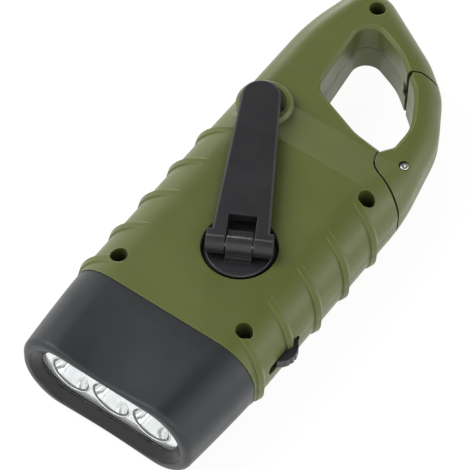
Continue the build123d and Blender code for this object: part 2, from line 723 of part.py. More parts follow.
# ---------------------------------------------------------------- gear train
def gear_plan(teeth, module, phase):
    """Plan of a spur gear with straight tooth flanks; one tooth points along phase, in degrees."""
    pitch_r = teeth * module / 2
    tip_r = pitch_r + ADDENDUM * module
    root_r = pitch_r - DEDENDUM * module
    half = pi / (2 * teeth) - BACKLASH * module / (2 * pitch_r)
    tip_half = half - tan(radians(20)) * (tip_r - pitch_r) / tip_r
    root_half = half + tan(radians(20)) * (pitch_r - root_r) / root_r
    points = []
    for tooth in range(teeth):
        middle = phase + 360 * tooth / teeth
        for radius, swing in ((root_r, -root_half), (tip_r, -tip_half), (tip_r, tip_half), (root_r, root_half)):
            points.append(polar(radius, middle + degrees(swing)))
    return make_face(Polyline(*points, close=True))


def gear(teeth, module, phase, low, high):
    """A spur gear about Z between two heights."""
    return slab(gear_plan(teeth, module, phase), low, high)


def centre_distance(teeth_a, teeth_b, module):
    """Distance between the axes of two meshed gears."""
    return (teeth_a + teeth_b) * module / 2 + MESH_SLACK


def idler_1_place():
    """Axis of the first idler."""
    return polar(centre_distance(DRIVE_TEETH, PINION_TEETH, DRIVE_MODULE), IDLER_1_ANGLE, (HUB_X, 0))


def idler_2_place():
    """Axis of the second idler."""
    return polar(centre_distance(WHEEL_1_TEETH, PINION_TEETH, FINE_MODULE), IDLER_2_ANGLE, idler_1_place())


def rotor_place():
    """Axis of the generator's rotor."""
    return polar(centre_distance(WHEEL_2_TEETH, ROTOR_TEETH, FINE_MODULE), ROTOR_ANGLE, idler_2_place())


def gap_phase(angle, teeth):
    """Phase that turns a gap towards the gear it is driven by, which lies back along angle."""
    return angle + 180 + 180 / teeth


def drive_gear():
    """Gear on the crank's shaft, with a flatted bore."""
    low = DRIVE_TOP - GEAR_WIDTH
    bore = rod(SEAT_R, low - 1, DRIVE_TOP + 1)
    bore = bore - Rot(0, 0, ARM_ANGLE) * block(SEAT_R - 0.5, SEAT_R + 1, -SEAT_R, SEAT_R, 0, TOP)
    wheel = gear(DRIVE_TEETH, DRIVE_MODULE, IDLER_1_ANGLE, low, DRIVE_TOP) - bore
    return Pos(HUB_X, 0, 0) * wheel


def idler(wheel_teeth, module, from_angle, to_angle, pinion_low, foot, place):
    """Compound idler: a pinion over a wheel, on a sleeve that stands on the gear plate."""
    wheel_top = pinion_low - GEAR_STEP
    pinion = gear(PINION_TEETH, module, gap_phase(from_angle, PINION_TEETH), pinion_low - 0.2,
                  pinion_low + GEAR_WIDTH + 0.2)
    wheel = gear(wheel_teeth, FINE_MODULE, to_angle, wheel_top - GEAR_WIDTH, wheel_top)
    sleeve = rod(AXLE_R + 1.0, foot, pinion_low)
    body = pinion + wheel + sleeve - rod(AXLE_R + RUN_GAP, 0, TOP)
    return Pos(*place, 0) * body


def idler_gear_1():
    """First idler, driven by the drive gear."""
    return idler(WHEEL_1_TEETH, DRIVE_MODULE, IDLER_1_ANGLE, IDLER_2_ANGLE, LEVEL_1, PLATE_TOP + 0.15,
                 idler_1_place())


def idler_gear_2():
    """Second idler, driven by the first."""
    return idler(WHEEL_2_TEETH, FINE_MODULE, IDLER_2_ANGLE, ROTOR_ANGLE, LEVEL_2, PLATE_TOP + 0.15,
                 idler_2_place())


def idler_axle(place, high):
    """Plain axle, held in the gear plate."""
    return rod(AXLE_R, PLATE_Z, high, *place)


def plate_posts():
    """Places of the gear plate's three pegs."""
    rotor = rotor_place()
    return [(rotor[0] - 10.4, rotor[1] + 22.5), (rotor[0] + 14.6, rotor[1] - 1.4), (rotor[0] + 15.0, rotor[1] + 25.6)]


def gear_plate():
    """Plate over the generator that carries the axles."""
    corners = [((x, y), 3.0) for x, y in plate_outline()]
    plate = slab(rounded(corners), PLATE_Z, PLATE_TOP)
    plate = plate - rod(AXLE_R, 0, TOP, *idler_1_place()) - rod(AXLE_R, 0, TOP, *idler_2_place())
    plate = plate - rod(ROTOR_SHAFT_R + RUN_GAP, 0, TOP, *rotor_place())
    for x, y in plate_posts():
        plate = plate - rod(PEG_R, 0, TOP, x, y)
    return plate


def plate_outline():
    """Corners of the gear plate, a margin outside its pegs and axles."""
    left, front_right, rear_right = plate_posts()
    rotor = rotor_place()
    margin = 3.2
    return [
        (left[0] - margin, left[1] + margin),
        (left[0] - margin, rotor[1] - margin),
        (front_right[0] + margin, rotor[1] - margin - 1.4),
        (rear_right[0] + margin, rear_right[1] + margin),
    ]


# ---------------------------------------------------------------- generator
def generator_rotor():
    """Ring magnet on the rotor's shaft."""
    low = STATOR_MIDDLE - MAGNET_THICK / 2
    return rod(MAGNET_R, low, low + MAGNET_THICK, *rotor_place()) - rod(ROTOR_SHAFT_R, 0, TOP, *rotor_place())


def rotor_shaft():
    """Shaft with the generator's pinion cut on its upper end."""
    low = LEVEL_3 - 0.2
    pinion = gear(ROTOR_TEETH, FINE_MODULE, gap_phase(ROTOR_ANGLE, ROTOR_TEETH), low, LEVEL_3 + GEAR_WIDTH + 0.2)
    return Pos(*rotor_place(), 0) * (pinion + rod(ROTOR_SHAFT_R, ROTOR_LOW + 0.1, low))


def stator_core():
    """Iron ring with poles that point at the magnet."""
    ring = rod(STATOR_R, STATOR_LOW, STATOR_HIGH) - rod(STATOR_R - 1.3, 0, TOP)
    pole = block(MAGNET_R + AIR_GAP, STATOR_R - 0.8, -POLE_WIDTH / 2, POLE_WIDTH / 2, STATOR_LOW, STATOR_HIGH)
    for number in range(POLE_COUNT):
        ring = ring + Rot(0, 0, 360 * number / POLE_COUNT) * pole
    return Pos(*rotor_place(), 0) * ring


def stator_coils():
    """One coil round each pole."""
    first = MAGNET_R + AIR_GAP + 0.4
    last = STATOR_R - 1.3 - 0.5
    half = POLE_WIDTH / 2
    outer = block(first, last, -half - COIL_THICK, half + COIL_THICK, STATOR_LOW - COIL_THICK,
                  STATOR_HIGH + COIL_THICK)
    coil = outer - block(0, STATOR_R, -half, half, STATOR_LOW, STATOR_HIGH)
    coils = [Pos(*rotor_place(), 0) * Rot(0, 0, 360 * n / POLE_COUNT) * coil for n in range(POLE_COUNT)]
    return Compound(children=coils)


def stator_posts():
    """Places of the posts under the stator, between its poles."""
    return [polar(STATOR_R - 1.1, 30 + 120 * number, rotor_place()) for number in range(3)]


# ---------------------------------------------------------------- cells, board and switch
def cell_axis():
    """Height of the cells' common axis."""
    return WALL + CELL_R + 0.1


def cell_pack():
    """Three button cells side by side along X."""
    cells = []
    for number in range(CELL_COUNT):
        x = CELL_X + (CELL_LENGTH + 0.1) * number + CELL_LENGTH / 2
        cell = lying(CELL_R, CELL_LENGTH, (x, CELL_Y, cell_axis()), (1, 0, 0))
        cells.append(cell)
    return Compound(children=cells)


def cell_saddles():
    """Two saddles of the rear shell that the cells lie in."""
    span = CELL_COUNT * CELL_LENGTH
    saddles = None
    for x in (CELL_X + span * 0.2, CELL_X + span * 0.8):
        saddle = block(x - 0.6, x + 0.6, CELL_Y - CELL_R + 0.6, CELL_Y + CELL_R - 0.6, 0.5, cell_axis() - 2.2)
        saddles = saddle if saddles is None else saddles + saddle
    return saddles - lying(CELL_R + 0.05, 2 * span, (CELL_X + span / 2, CELL_Y, cell_axis()), (1, 0, 0))


def board_posts():
    """Places of the posts under the charging board, near its corners."""
    width, length = CHARGE_BOARD
    return [
        (CHARGE_BOARD_X + sx * (width / 2 - 2.4), CHARGE_BOARD_Y + sy * (length / 2 - 2.4))
        for sx in (-1, 1)
        for sy in (-1, 1)
    ]


def charge_board():
    """Small circuit board with its chip, capacitor and diodes."""
    width, length = CHARGE_BOARD
    x, y = CHARGE_BOARD_X, CHARGE_BOARD_Y
    top = BOARD_Z + BOARD_THICK
    board = block(x - width / 2, x + width / 2, y - length / 2, y + length / 2, BOARD_Z, top)
    chip = block(x - 3, x + 1, y - 2.5, y + 2.5, top, top + 1.4)
    capacitor = rod(2.6, top, top + 5.5, x + 1.5, y + 7.5)
    board = board + chip + capacitor
    for number in range(3):
        board = board + block(x - 4.2, x - 1.0, y - 9.4 + 2.2 * number, y - 8.2 + 2.2 * number, top, top + 1.2)
    return board


def slider_middle():
    """Y of the switch button's middle, switched off."""
    return SLOT_REAR - SLIDER_REAR_GAP - SLIDER_LENGTH / 2


def switch_shelf():
    """Post of the rear shell under the slide switch."""
    y = slider_middle() - SLIDER_TRAVEL / 2
    return block(SWITCH_X, HALF_W, y - 2.4, y + 2.4, 0.5, SWITCH_LOW)


def slide_switch():
    """Low slide switch whose channel takes the button's peg."""
    y = slider_middle() - SLIDER_TRAVEL / 2
    half = SLIDER_TRAVEL / 2 + PEG_HALF + 0.3
    high = SWITCH_X + SWITCH_THICK
    z = MID + SLOT_CENTRE
    case = block(SWITCH_X, high, y - half - 1.0, y + half + 1.0, SWITCH_LOW, z + 2.2)
    return case - block(high - 0.9, high + 1, y - half, y + half, z - 1.0, z + 1.0)


def switch_slider():
    """Ridged button that slides along the slot, with a plate behind the wall and a peg."""
    y = slider_middle()
    z = MID + SLOT_CENTRE
    tall = SLOT_HEIGHT / 2 - 0.15
    half = SLIDER_LENGTH / 2
    bow_r = (half**2 + SLIDER_PROUD**2) / (2 * SLIDER_PROUD)
    wall_x = HALF_W + 0.05
    bow = rod(bow_r, z - tall, z + tall, HALF_W + SLIDER_PROUD - bow_r, y)
    bow = bow & block(wall_x, HALF_W + 9, y - half, y + half, 0, TOP)
    plate_x = SWITCH_X + SWITCH_THICK + 0.2
    stem = block(plate_x, wall_x, y - half + tall, y + half - tall, z - tall, z + tall)
    for end in (-1, 1):
        centre = ((plate_x + wall_x) / 2, y + end * (half - tall), z)
        stem = stem + lying(tall, wall_x - plate_x, centre, (1, 0, 0))
    high, low = z + SLIDER_PLATE_HALF, z - SLIDER_PLATE_HALF
    plate = block(plate_x, plate_x + SLIDER_PLATE, y - half - 1.6, y + half + 1.6, low, high)
    peg = block(plate_x - 0.9, plate_x, y - PEG_HALF, y + PEG_HALF, z - 0.8, z + 0.8)
    button = bow + stem + plate + peg
    for number in range(SLIDER_RIDGES):
        offset_y = (number - (SLIDER_RIDGES - 1) / 2) * half * 0.36
        reach = HALF_W + SLIDER_PROUD - bow_r + (bow_r**2 - offset_y**2) ** 0.5
        button = button - Pos(reach, y + offset_y, z) * Rot(0, 0, 45) * Box(0.5, 0.5, 2 * tall + 1)
    return button


# ---------------------------------------------------------------- head
def head_blank():
    """The head's outer form: sides that lean in towards the nose, rounded and dished on both faces."""
    joint, nose = HALF_W - HEAD_STEP, HEAD_NOSE_WIDTH / 2
    corners = [(-joint, -HEAD_JOINT), (joint, -HEAD_JOINT), (nose, NOSE_Y), (-nose, NOSE_Y)]
    high = HALF_T - HEAD_STEP
    blank = slab(make_face(Polyline(*corners, close=True)), MID - high, MID + high)
    middle = -HEAD_JOINT - HEAD_LENGTH / 2
    blank = fillet(blank.edges().filter_by(lambda e: abs(e.center().Y - middle) < 1), SHOULDER_R)
    rim = blank.edges().filter_by(lambda e: e.center().Y < NOSE_Y + 0.1)
    blank = chamfer(rim, HEAD_RIM_CHAMFER)
    chord = HEAD_NOSE_WIDTH / 2 - SHOULDER_R
    dish_r = (chord**2 + HEAD_WAIST**2) / (2 * HEAD_WAIST)
    for side in (-1, 1):
        slope = (0, -HEAD_LENGTH, -side * HEAD_WAIST)
        centre = (0, middle, MID + side * (high - HEAD_WAIST / 2 + dish_r))
        blank = blank - lying(dish_r, 3 * HEAD_LENGTH, centre, slope)
        out = dish_r * sin(radians(45))
        edge = (0, NOSE_Y + HEAD_RIM_CHAMFER / 2 - out,
                MID + side * (high - HEAD_WAIST - HEAD_RIM_CHAMFER / 2 + out))
        blank = blank - lying(dish_r, HEAD_LENGTH, edge, (0, -1, -side))
    return blank


def stadium(length, height, y, thick):
    """Plate with round ends, standing at Y and reaching back by thick."""
    return extrude(standing(y) * SlotOverall(length, height), amount=thick)


def head_bezel():
    """Black head: a dished cup with a flared window and a spigot that enters the housing."""
    pocket_back = LENS_Y + LENS_THICK + FLANGE_THICK
    lens_length = WINDOW_LENGTH + 2 * LENS_LAP
    lens_height = WINDOW_HEIGHT + 2 * LENS_LAP
    cup = head_blank() - bar(HEAD_NOSE_WIDTH / 2 - HEAD_WALL, HALF_T - HEAD_WALL - HEAD_WAIST, pocket_back, 0)
    cup = cup - stadium(lens_length + 0.2, lens_height + 0.2, LENS_Y - SEAL_THICK, HEAD_WALL + 2)
    flare = loft([
        standing(NOSE_Y) * SlotOverall(WINDOW_LENGTH + 2 * WINDOW_FLARE, WINDOW_HEIGHT + 2 * WINDOW_FLARE),
        standing(LENS_Y - SEAL_THICK) * SlotOverall(WINDOW_LENGTH, WINDOW_HEIGHT),
    ], ruled=True)
    inset = WALL + 0.1
    spigot = bar(HALF_W - inset, HALF_T - inset, -HEAD_JOINT - 3, -HEAD_JOINT + SPIGOT_LENGTH)
    inset = inset + SPIGOT_WALL
    spigot = spigot - bar(HALF_W - inset, HALF_T - inset, -HEAD_JOINT - 4, 0)
    return cup - flare + spigot


def bar(half_w, half_h, front, back):
    """Solid bar with the body's rounding on its long edges, between two places along Y."""
    solid = block(-half_w, half_w, front, back, MID - half_h, MID + half_h)
    return fillet(solid.edges().filter_by(Axis.Y), SHOULDER_R - HALF_T + half_h)


def standing(y):
    """Plane across the light's way at Y, drawn from the front."""
    return Plane(origin=(0, y, MID), x_dir=(1, 0, 0), z_dir=(0, 1, 0))


def lens_window():
    """Clear plate behind the window's lip."""
    return stadium(WINDOW_LENGTH + 2 * LENS_LAP, WINDOW_HEIGHT + 2 * LENS_LAP, LENS_Y, LENS_THICK)


def head_seal():
    """Rubber ring between the lip and the clear plate."""
    outer = stadium(WINDOW_LENGTH + 2 * LENS_LAP, WINDOW_HEIGHT + 2 * LENS_LAP, LENS_Y - SEAL_THICK, SEAL_THICK)
    hole = 2 * (LENS_LAP - SEAL_WIDTH)
    return outer - stadium(WINDOW_LENGTH + hole, WINDOW_HEIGHT + hole, LENS_Y - 2, 4)


def lamp_places():
    """X of each lamp."""
    return [(number - (LAMP_COUNT - 1) / 2) * LAMP_PITCH for number in range(LAMP_COUNT)]


def cup_profile():
    """Half profile of a reflector cup, deepening as the square of its radius."""
    points = []
    for step in range(CUP_STEPS + 1):
        share = step / CUP_STEPS
        radius = (CUP_THROAT_R**2 + (CUP_MOUTH_R**2 - CUP_THROAT_R**2) * share) ** 0.5
        points.append((radius, CUP_DEPTH * share))
    outline = Polyline((0, 0), *points, (0, CUP_DEPTH), close=True)
    return make_face(outline)


def reflector():
    """Bright plastic reflector: a flange and three joined cups."""
    lens_length = WINDOW_LENGTH + 2 * LENS_LAP
    lens_height = WINDOW_HEIGHT + 2 * LENS_LAP
    front = LENS_Y + LENS_THICK
    body = stadium(lens_length, lens_height, front, FLANGE_THICK)
    body = body + stadium(REFLECTOR_LENGTH, REFLECTOR_HEIGHT, front, CUP_DEPTH)
    cup = Rot(90, 0, 0) * revolve(Plane.XZ * cup_profile(), Axis.Z)
    for x in lamp_places():
        body = body - Pos(x, front + CUP_DEPTH, MID) * cup
    return body


def led(x):
    """One lamp with its dome and flange, standing on the lamp board."""
    back = LENS_Y + LENS_THICK + CUP_DEPTH
    dome = [(LED_R * cos(radians(30 * n)), LED_LENGTH - LED_R + LED_R * sin(radians(30 * n))) for n in range(4)]
    flange = LED_R + 0.3
    outline = Polyline((0, 0), (flange, 0), (flange, LED_FLANGE), (LED_R, LED_FLANGE), *dome, close=True)
    body = revolve(Plane.XZ * make_face(outline), Axis.Z)
    return Pos(x, back, MID) * Rot(90, 0, 0) * body


def led_board():
    """Lamp board, bonded to the reflector's back."""
    return stadium(REFLECTOR_LENGTH, REFLECTOR_HEIGHT, LENS_Y + LENS_THICK + CUP_DEPTH, BOARD_THICK)


# ---------------------------------------------------------------- write the parts
def build():
    """Every piece of the flashlight, by name."""
    form = pierced_form()
    pieces = {
        "front_shell": front_shell(form),
        "rear_shell": rear_shell(form),
        "shell_screws": Compound(children=[shell_screw(x, y) for x, y in SHELL_SCREWS]),
        "carabiner_gate": carabiner_gate(form),
        "gate_pin": gate_pin(),
        "gate_spring": gate_spring(),
        "crank_hub": crank_hub(),
        "crank_arm": crank_arm(),
        "crank_hinge_pin": crank_hinge_pin(),
        "crank_knob": crank_knob(),
        "knob_screw": knob_screw(),
        "hub_bush": hub_bush(),
        "hub_screw": hub_screw(),
        "drive_gear": drive_gear(),
        "idler_gear_1": idler_gear_1(),
        "idler_gear_2": idler_gear_2(),
        "idler_axle_1": idler_axle(idler_1_place(), AXLE_1_TOP),
        "idler_axle_2": idler_axle(idler_2_place(), LEVEL_2 + GEAR_WIDTH + 0.4),
        "gear_plate": gear_plate(),
        "generator_rotor": generator_rotor(),
        "rotor_shaft": rotor_shaft(),
        "stator_core": stator_core(),
        "stator_coils": stator_coils(),
        "cell_pack": cell_pack(),
        "charge_board": charge_board(),
        "slide_switch": slide_switch(),
        "switch_slider": switch_slider(),
        "head_bezel": head_bezel(),
        "lens_window": lens_window(),
        "head_seal": head_seal(),
        "reflector": reflector(),
        "led_board": led_board(),
    }
    for number, x in enumerate(lamp_places(), start=1):
        pieces[f"led_{number}"] = led(x)
    return pieces


os.makedirs("parts", exist_ok=True)
for name, piece in build().items():
    export_step(piece, f"parts/{name}.step")
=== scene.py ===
"""Finishes, small pieces, light and camera for a hand crank flashlight.

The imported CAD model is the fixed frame. Lengths are in millimetres until a mesh is made, then metres.
"""

import json
import math

import bmesh
import bpy
import numpy as np
from bpy.props import FloatProperty, FloatVectorProperty, IntProperty, PointerProperty
from mathutils import Matrix, Vector


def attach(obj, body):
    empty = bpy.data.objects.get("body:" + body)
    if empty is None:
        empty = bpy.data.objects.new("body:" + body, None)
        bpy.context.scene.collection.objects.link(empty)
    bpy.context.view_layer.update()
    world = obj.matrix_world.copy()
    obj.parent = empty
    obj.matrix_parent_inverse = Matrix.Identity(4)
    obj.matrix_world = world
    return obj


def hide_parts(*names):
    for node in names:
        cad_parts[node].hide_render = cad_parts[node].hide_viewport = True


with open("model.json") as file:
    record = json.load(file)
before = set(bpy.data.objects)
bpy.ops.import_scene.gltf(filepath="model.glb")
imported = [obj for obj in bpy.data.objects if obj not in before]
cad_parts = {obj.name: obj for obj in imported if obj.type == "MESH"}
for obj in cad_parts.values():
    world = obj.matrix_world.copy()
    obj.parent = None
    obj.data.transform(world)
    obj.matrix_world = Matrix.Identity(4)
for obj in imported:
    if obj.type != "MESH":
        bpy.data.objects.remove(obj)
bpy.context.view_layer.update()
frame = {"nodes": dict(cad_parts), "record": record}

bl_info = {
    "name": "Hand Crank Flashlight",
    "version": (1, 0, 0),
    "blender": (4, 5, 0),
    "location": "3D View > Sidebar > Flashlight",
    "description": "Finishes and small pieces for a hand crank flashlight",
    "category": "Object",
}

MM = 0.001
PARTING = 12.4          # height of the seam between the two shells

# Head
HEAD_JOINT_Y = -25.8    # where the head meets the housing
NOSE_Y = -50.5          # front plane of the head
HEAD_DISH = 1.3         # how far the head's top and bottom sink at the middle of the nose
RECESS_MIDDLE = 12.9    # from the head's middle to the centre of each round end of the recess
RECESS_RADIUS = 9.8     # radius of those ends, inside the lip
STOP_Y = -48.4          # the recess's inner edge, which holds the window from in front
WINDOW_MIDDLE = 13.1    # from the head's middle to the centre of each round end of the window
WINDOW_FRONT = -48.35   # front face of the window, just behind the stop
REFLECTOR_Y = -47.7     # front plane of the reflector
LAMP_BOARD_Y = -38.4    # front plane of the lamp board
LAMP_PITCH = 12.07
LAMP_XS = (-LAMP_PITCH, 0.0, LAMP_PITCH)

# Housing
RING_FRONT = 21.03      # height of the ring's front face
RING_BACK = 3.77
GATE_PIN = (21.3, 47.1)
GATE_PIN_SINK = 1.0     # the pin's ends below the ring's faces
WELLS = ((-18.8, -19.1), (18.8, -19.1), (20.4, 31.1), (-12.6, 85.4))
WELL_FLOOR = 14.4


def srgb(code):
    """A colour as linear values, from its sRGB hex code."""
    values = np.array([int(code[i:i + 2], 16) for i in (1, 3, 5)]) / 255
    linear = np.where(values > 0.04045, ((values + 0.055) / 1.055) ** 2.4, values / 12.92)
    return tuple(float(v) for v in linear)


# ---------------------------------------------------------------- what a user would change
class FlashlightColours(bpy.types.PropertyGroup):
    """Colours of the finishes that show."""

    housing: FloatVectorProperty(
        name="Housing", description="Olive of the moulded shells and the gate", subtype="COLOR", size=3,
        min=0, max=1, default=srgb("#656e33"))
    head: FloatVectorProperty(
        name="Head", description="Charcoal of the lamp head", subtype="COLOR", size=3,
        min=0, max=1, default=srgb("#2e3134"))
    crank: FloatVectorProperty(
        name="Crank", description="Charcoal of the folding arm", subtype="COLOR", size=3,
        min=0, max=1, default=srgb("#252628"))
    hub: FloatVectorProperty(
        name="Hub", description="Dark grey of the crank's hub and the switch button", subtype="COLOR",
        size=3, min=0, max=1, default=srgb("#333436"))
    floor: FloatVectorProperty(
        name="Floor", description="Pale floor under the flashlight", subtype="COLOR", size=3,
        min=0, max=1, default=srgb("#f4f4f3"))


class FlashlightSizes(bpy.types.PropertyGroup):
    """Sizes of the added pieces and of the moulded surface."""

    edge_round: FloatProperty(
        name="Edge rounding", description="Radius that moulded edges catch the light with",
        subtype="DISTANCE", unit="LENGTH", min=0, max=0.002, default=0.35 * MM)
    grain: FloatProperty(
        name="Grain", description="Spacing of the spark-eroded texture on the moulded shells",
        subtype="DISTANCE", unit="LENGTH", min=0.0001, max=0.005, default=0.45 * MM)
    seam_width: FloatProperty(
        name="Parting line", description="Width of the groove where the two shells meet",
        subtype="DISTANCE", unit="LENGTH", min=0, max=0.001, default=0.3 * MM)
    cup_mouth: FloatProperty(
        name="Cup mouth", description="Radius of each reflector cup at its mouth, inside its rim",
        subtype="DISTANCE", unit="LENGTH", min=0.003, max=0.0054, default=5.25 * MM)
    lamp_radius: FloatProperty(
        name="Lamp radius", description="Radius of each lamp's dome",
        subtype="DISTANCE", unit="LENGTH", min=0.001, max=0.003, default=2.5 * MM)
    screw_head: FloatProperty(
        name="Screw head", description="Radius of the shell screws' pan heads",
        subtype="DISTANCE", unit="LENGTH", min=0.001, max=0.0022, default=1.95 * MM)
    pin_head: FloatProperty(
        name="Pin head", description="Radius of the domed heads on the gate's pin",
        subtype="DISTANCE", unit="LENGTH", min=0.0005, max=0.00148, default=1.08 * MM)
    round_steps: IntProperty(
        name="Round steps", description="Points round every turned piece", min=12, max=256, default=72)


class FlashlightStage(bpy.types.PropertyGroup):
    """Camera and light."""

    azimuth: FloatProperty(
        name="Azimuth", description="Camera's direction round the flashlight", subtype="ANGLE",
        default=math.radians(34.29))
    elevation: FloatProperty(
        name="Elevation", description="Camera's height above the horizon", subtype="ANGLE",
        default=math.radians(54.98))
    roll: FloatProperty(
        name="Roll", description="Camera's turn about its own axis", subtype="ANGLE",
        default=math.radians(1.54))
    distance: FloatProperty(
        name="Distance", description="Camera to the point it looks at", subtype="DISTANCE",
        unit="LENGTH", min=0.1, default=730.84 * MM)
    lens: FloatProperty(
        name="Lens", description="Focal length in millimetres on a 36 mm sensor", min=10, default=223.1)
    key_power: FloatProperty(
        name="Key power", description="Power of the main softbox in watts", min=0, default=2.5)
    fill_power: FloatProperty(
        name="Fill power", description="Power of the second softbox in watts", min=0, default=0.9)
    rim_power: FloatProperty(
        name="Rim power", description="Power of each softbox behind, in watts", min=0, default=1.6)
    tent: FloatProperty(
        name="Tent", description="Strength of the light from the sides", min=0, max=1, default=0.8)


# ---------------------------------------------------------------- material nodes
def node(tree, kind, links=None, out=None, into=None, **settings):
    """Adds a node with its settings.

    links gives sockets, by name or number, a value or another node's output. Its first output goes
    into a socket if one is given. The result is the output named by out, or else the node.
    """
    made = tree.nodes.new(kind)
    for name, value in settings.items():
        setattr(made, name, value)
    for name, value in (links or {}).items():
        if isinstance(value, bpy.types.NodeSocket):
            tree.links.new(value, made.inputs[name])
        else:
            made.inputs[name].default_value = value
    if into is not None:
        tree.links.new(made.outputs[0], into)
    return made if out is None else made.outputs[out]


def new_material(name):
    """An empty material, its tree, its output's surface socket and the place on the object in metres."""
    material = bpy.data.materials.new(name)
    material.use_nodes = True
    tree = material.node_tree
    tree.nodes.clear()
    surface = node(tree, "ShaderNodeOutputMaterial").inputs["Surface"]
    return material, tree, surface, node(tree, "ShaderNodeTexCoord", out="Object")


def rgba(colour, factor=1.0):
    """A colour with its alpha, made lighter or darker by a factor."""
    return (*(min(1.0, c * factor) for c in colour[:3]), 1.0)


def clouded(tree, place, spacing, low, high, detail=3.0):
    """A cloudy pattern, with a cloud for about every spacing in metres, that runs from low to high."""
    cloud = node(tree, "ShaderNodeTexNoise", {"Vector": place, "Scale": 1 / spacing, "Detail": detail}, "Fac")
    return node(tree, "ShaderNodeMapRange", {
        "Value": cloud, "From Min": 0.3, "From Max": 0.7, "To Min": low, "To Max": high}, "Result")


def with_parting_line(tree, place, shade, normal, colour, width):
    """Colour and normal with the shells' parting line: dark and sunk in a thin level band."""
    z = node(tree, "ShaderNodeSeparateXYZ", {"Vector": place}, "Z")
    off = node(tree, "ShaderNodeMath", {0: z, 1: PARTING * MM}, 0, operation="SUBTRACT")
    size = node(tree, "ShaderNodeMath", {0: off}, 0, operation="ABSOLUTE")
    wall = node(tree, "ShaderNodeMapRange", {
        "Value": size, "From Min": width / 4, "From Max": width / 2}, "Result",
        interpolation_type="SMOOTHSTEP")
    shade = node(tree, "ShaderNodeMix", {0: wall, 6: rgba(colour, 0.4), 7: shade}, 2, data_type="RGBA")
    normal = node(tree, "ShaderNodeBump", {"Distance": 0.15 * MM, "Height": wall, "Normal": normal}, "Normal")
    return shade, normal


def moulded(name, colour, roughness, grain, edge, seam=None, mottle=0.06, depth=0.012 * MM, hollow=0.3,
            sheen=0.12):
    """Moulded plastic: spark-eroded grain, faint flow mottling, a painted highlight along the edges and
    painted shade in the hollows.

    The grain breaks up the gloss into a satin sheen. It is drawn about four times as coarse as the
    real texture, which would be finer than a pixel. mottle is how far the colour wanders, depth the
    height of the grain, hollow the share of the colour that the painted shade in a hollow keeps, and
    sheen the pale veil that shows at a slant. seam is the width of the parting line, on the pieces that have
    one.
    """
    material, tree, surface, place = new_material(name)
    flow = clouded(tree, place, 14 * MM, 0.0, 1.0, 4.0)
    fine = clouded(tree, place, grain, 0.93, 1.0)
    shade = node(tree, "ShaderNodeMix", {
        0: flow, 6: rgba(colour, 1 - mottle), 7: rgba(colour, 1 + mottle)}, 2, data_type="RGBA")
    shade = node(tree, "ShaderNodeMix", {0: 1.0, 6: shade, 7: fine}, 2, data_type="RGBA",
                 blend_type="MULTIPLY")
    normal = node(tree, "ShaderNodeBevel", {"Radius": edge}, "Normal", samples=6)
    face = node(tree, "ShaderNodeNewGeometry", out="Normal")
    level = node(tree, "ShaderNodeVectorMath", {0: normal, 1: face}, "Value", operation="DOT_PRODUCT")
    # Painted highlight: where the rounded bevel normal turns away from the face, along edges, the colour is
    # lightened towards twice itself.
    painted_edge_highlight = node(tree, "ShaderNodeMapRange", {
        "Value": level, "From Min": 0.995, "From Max": 0.92, "To Max": 0.65}, "Result")
    shade = node(tree, "ShaderNodeMix", {0: painted_edge_highlight, 6: shade, 7: rgba(colour, 2.0)}, 2, data_type="RGBA")
    # Painted shade: where ambient occlusion finds surfaces within 4 mm, the colour darkens towards the share
    # given by hollow.
    openness = node(tree, "ShaderNodeAmbientOcclusion", {"Distance": 4 * MM}, "AO", samples=6)
    painted_hollow_shade = node(tree, "ShaderNodeMapRange", {"Value": openness, "From Min": 0.85, "From Max": 0.3}, "Result")
    shade = node(tree, "ShaderNodeMix", {0: painted_hollow_shade, 6: shade, 7: rgba(colour, hollow)}, 2, data_type="RGBA")
    if seam:
        shade, normal = with_parting_line(tree, place, shade, normal, colour, seam)
    normal = node(tree, "ShaderNodeBump", {"Distance": depth, "Height": fine, "Normal": normal}, "Normal")
    rough = clouded(tree, place, 5 * MM, roughness - 0.04, roughness + 0.05)
    node(tree, "ShaderNodeBsdfPrincipled", {
        "Base Color": shade, "Roughness": rough, "IOR": 1.5, "Normal": normal, "Sheen Weight": sheen,
        "Sheen Roughness": 0.35}, into=surface)
    return material


def metal(name, colour, roughness, grit, edge=0.1 * MM, mottle=0.1):
    """Bare or plated metal: colour from its own reflection, with a fine grit from how it was finished."""
    material, tree, surface, place = new_material(name)
    cloud = clouded(tree, place, 3 * MM, 0.0, 1.0)
    shade = node(tree, "ShaderNodeMix", {
        0: cloud, 6: rgba(colour, 1 - mottle), 7: rgba(colour, 1 + mottle)}, 2, data_type="RGBA")
    rough = clouded(tree, place, grit, roughness * 0.8, roughness * 1.25)
    soft = node(tree, "ShaderNodeBevel", {"Radius": edge}, "Normal", samples=4)
    normal = node(tree, "ShaderNodeBump", {"Distance": 0.01 * MM, "Height": rough, "Normal": soft}, "Normal")
    node(tree, "ShaderNodeBsdfPrincipled", {
        "Base Color": shade, "Metallic": 1.0, "Roughness": rough, "Normal": normal}, into=surface)
    return material


def clear_resin(name, colour):
    """Clear cast epoxy: shadows pass through it, as light does through the real one."""
    material, tree, surface, place = new_material(name)
    ripple = clouded(tree, place, 2.2 * MM, 0.0, 1.0, 2.0)
    normal = node(tree, "ShaderNodeBump", {"Distance": 0.01 * MM, "Height": ripple}, "Normal")
    clear = node(tree, "ShaderNodeBsdfPrincipled", {
        "Base Color": rgba(colour), "Roughness": 0.02, "IOR": 1.5, "Transmission Weight": 1.0,
        "Normal": normal}, "BSDF")
    through = node(tree, "ShaderNodeBsdfTransparent", {"Color": rgba(colour)}, "BSDF")
    shadow = node(tree, "ShaderNodeLightPath", out="Is Shadow Ray")
    node(tree, "ShaderNodeMixShader", {0: shadow, 1: clear, 2: through}, into=surface)
    return material


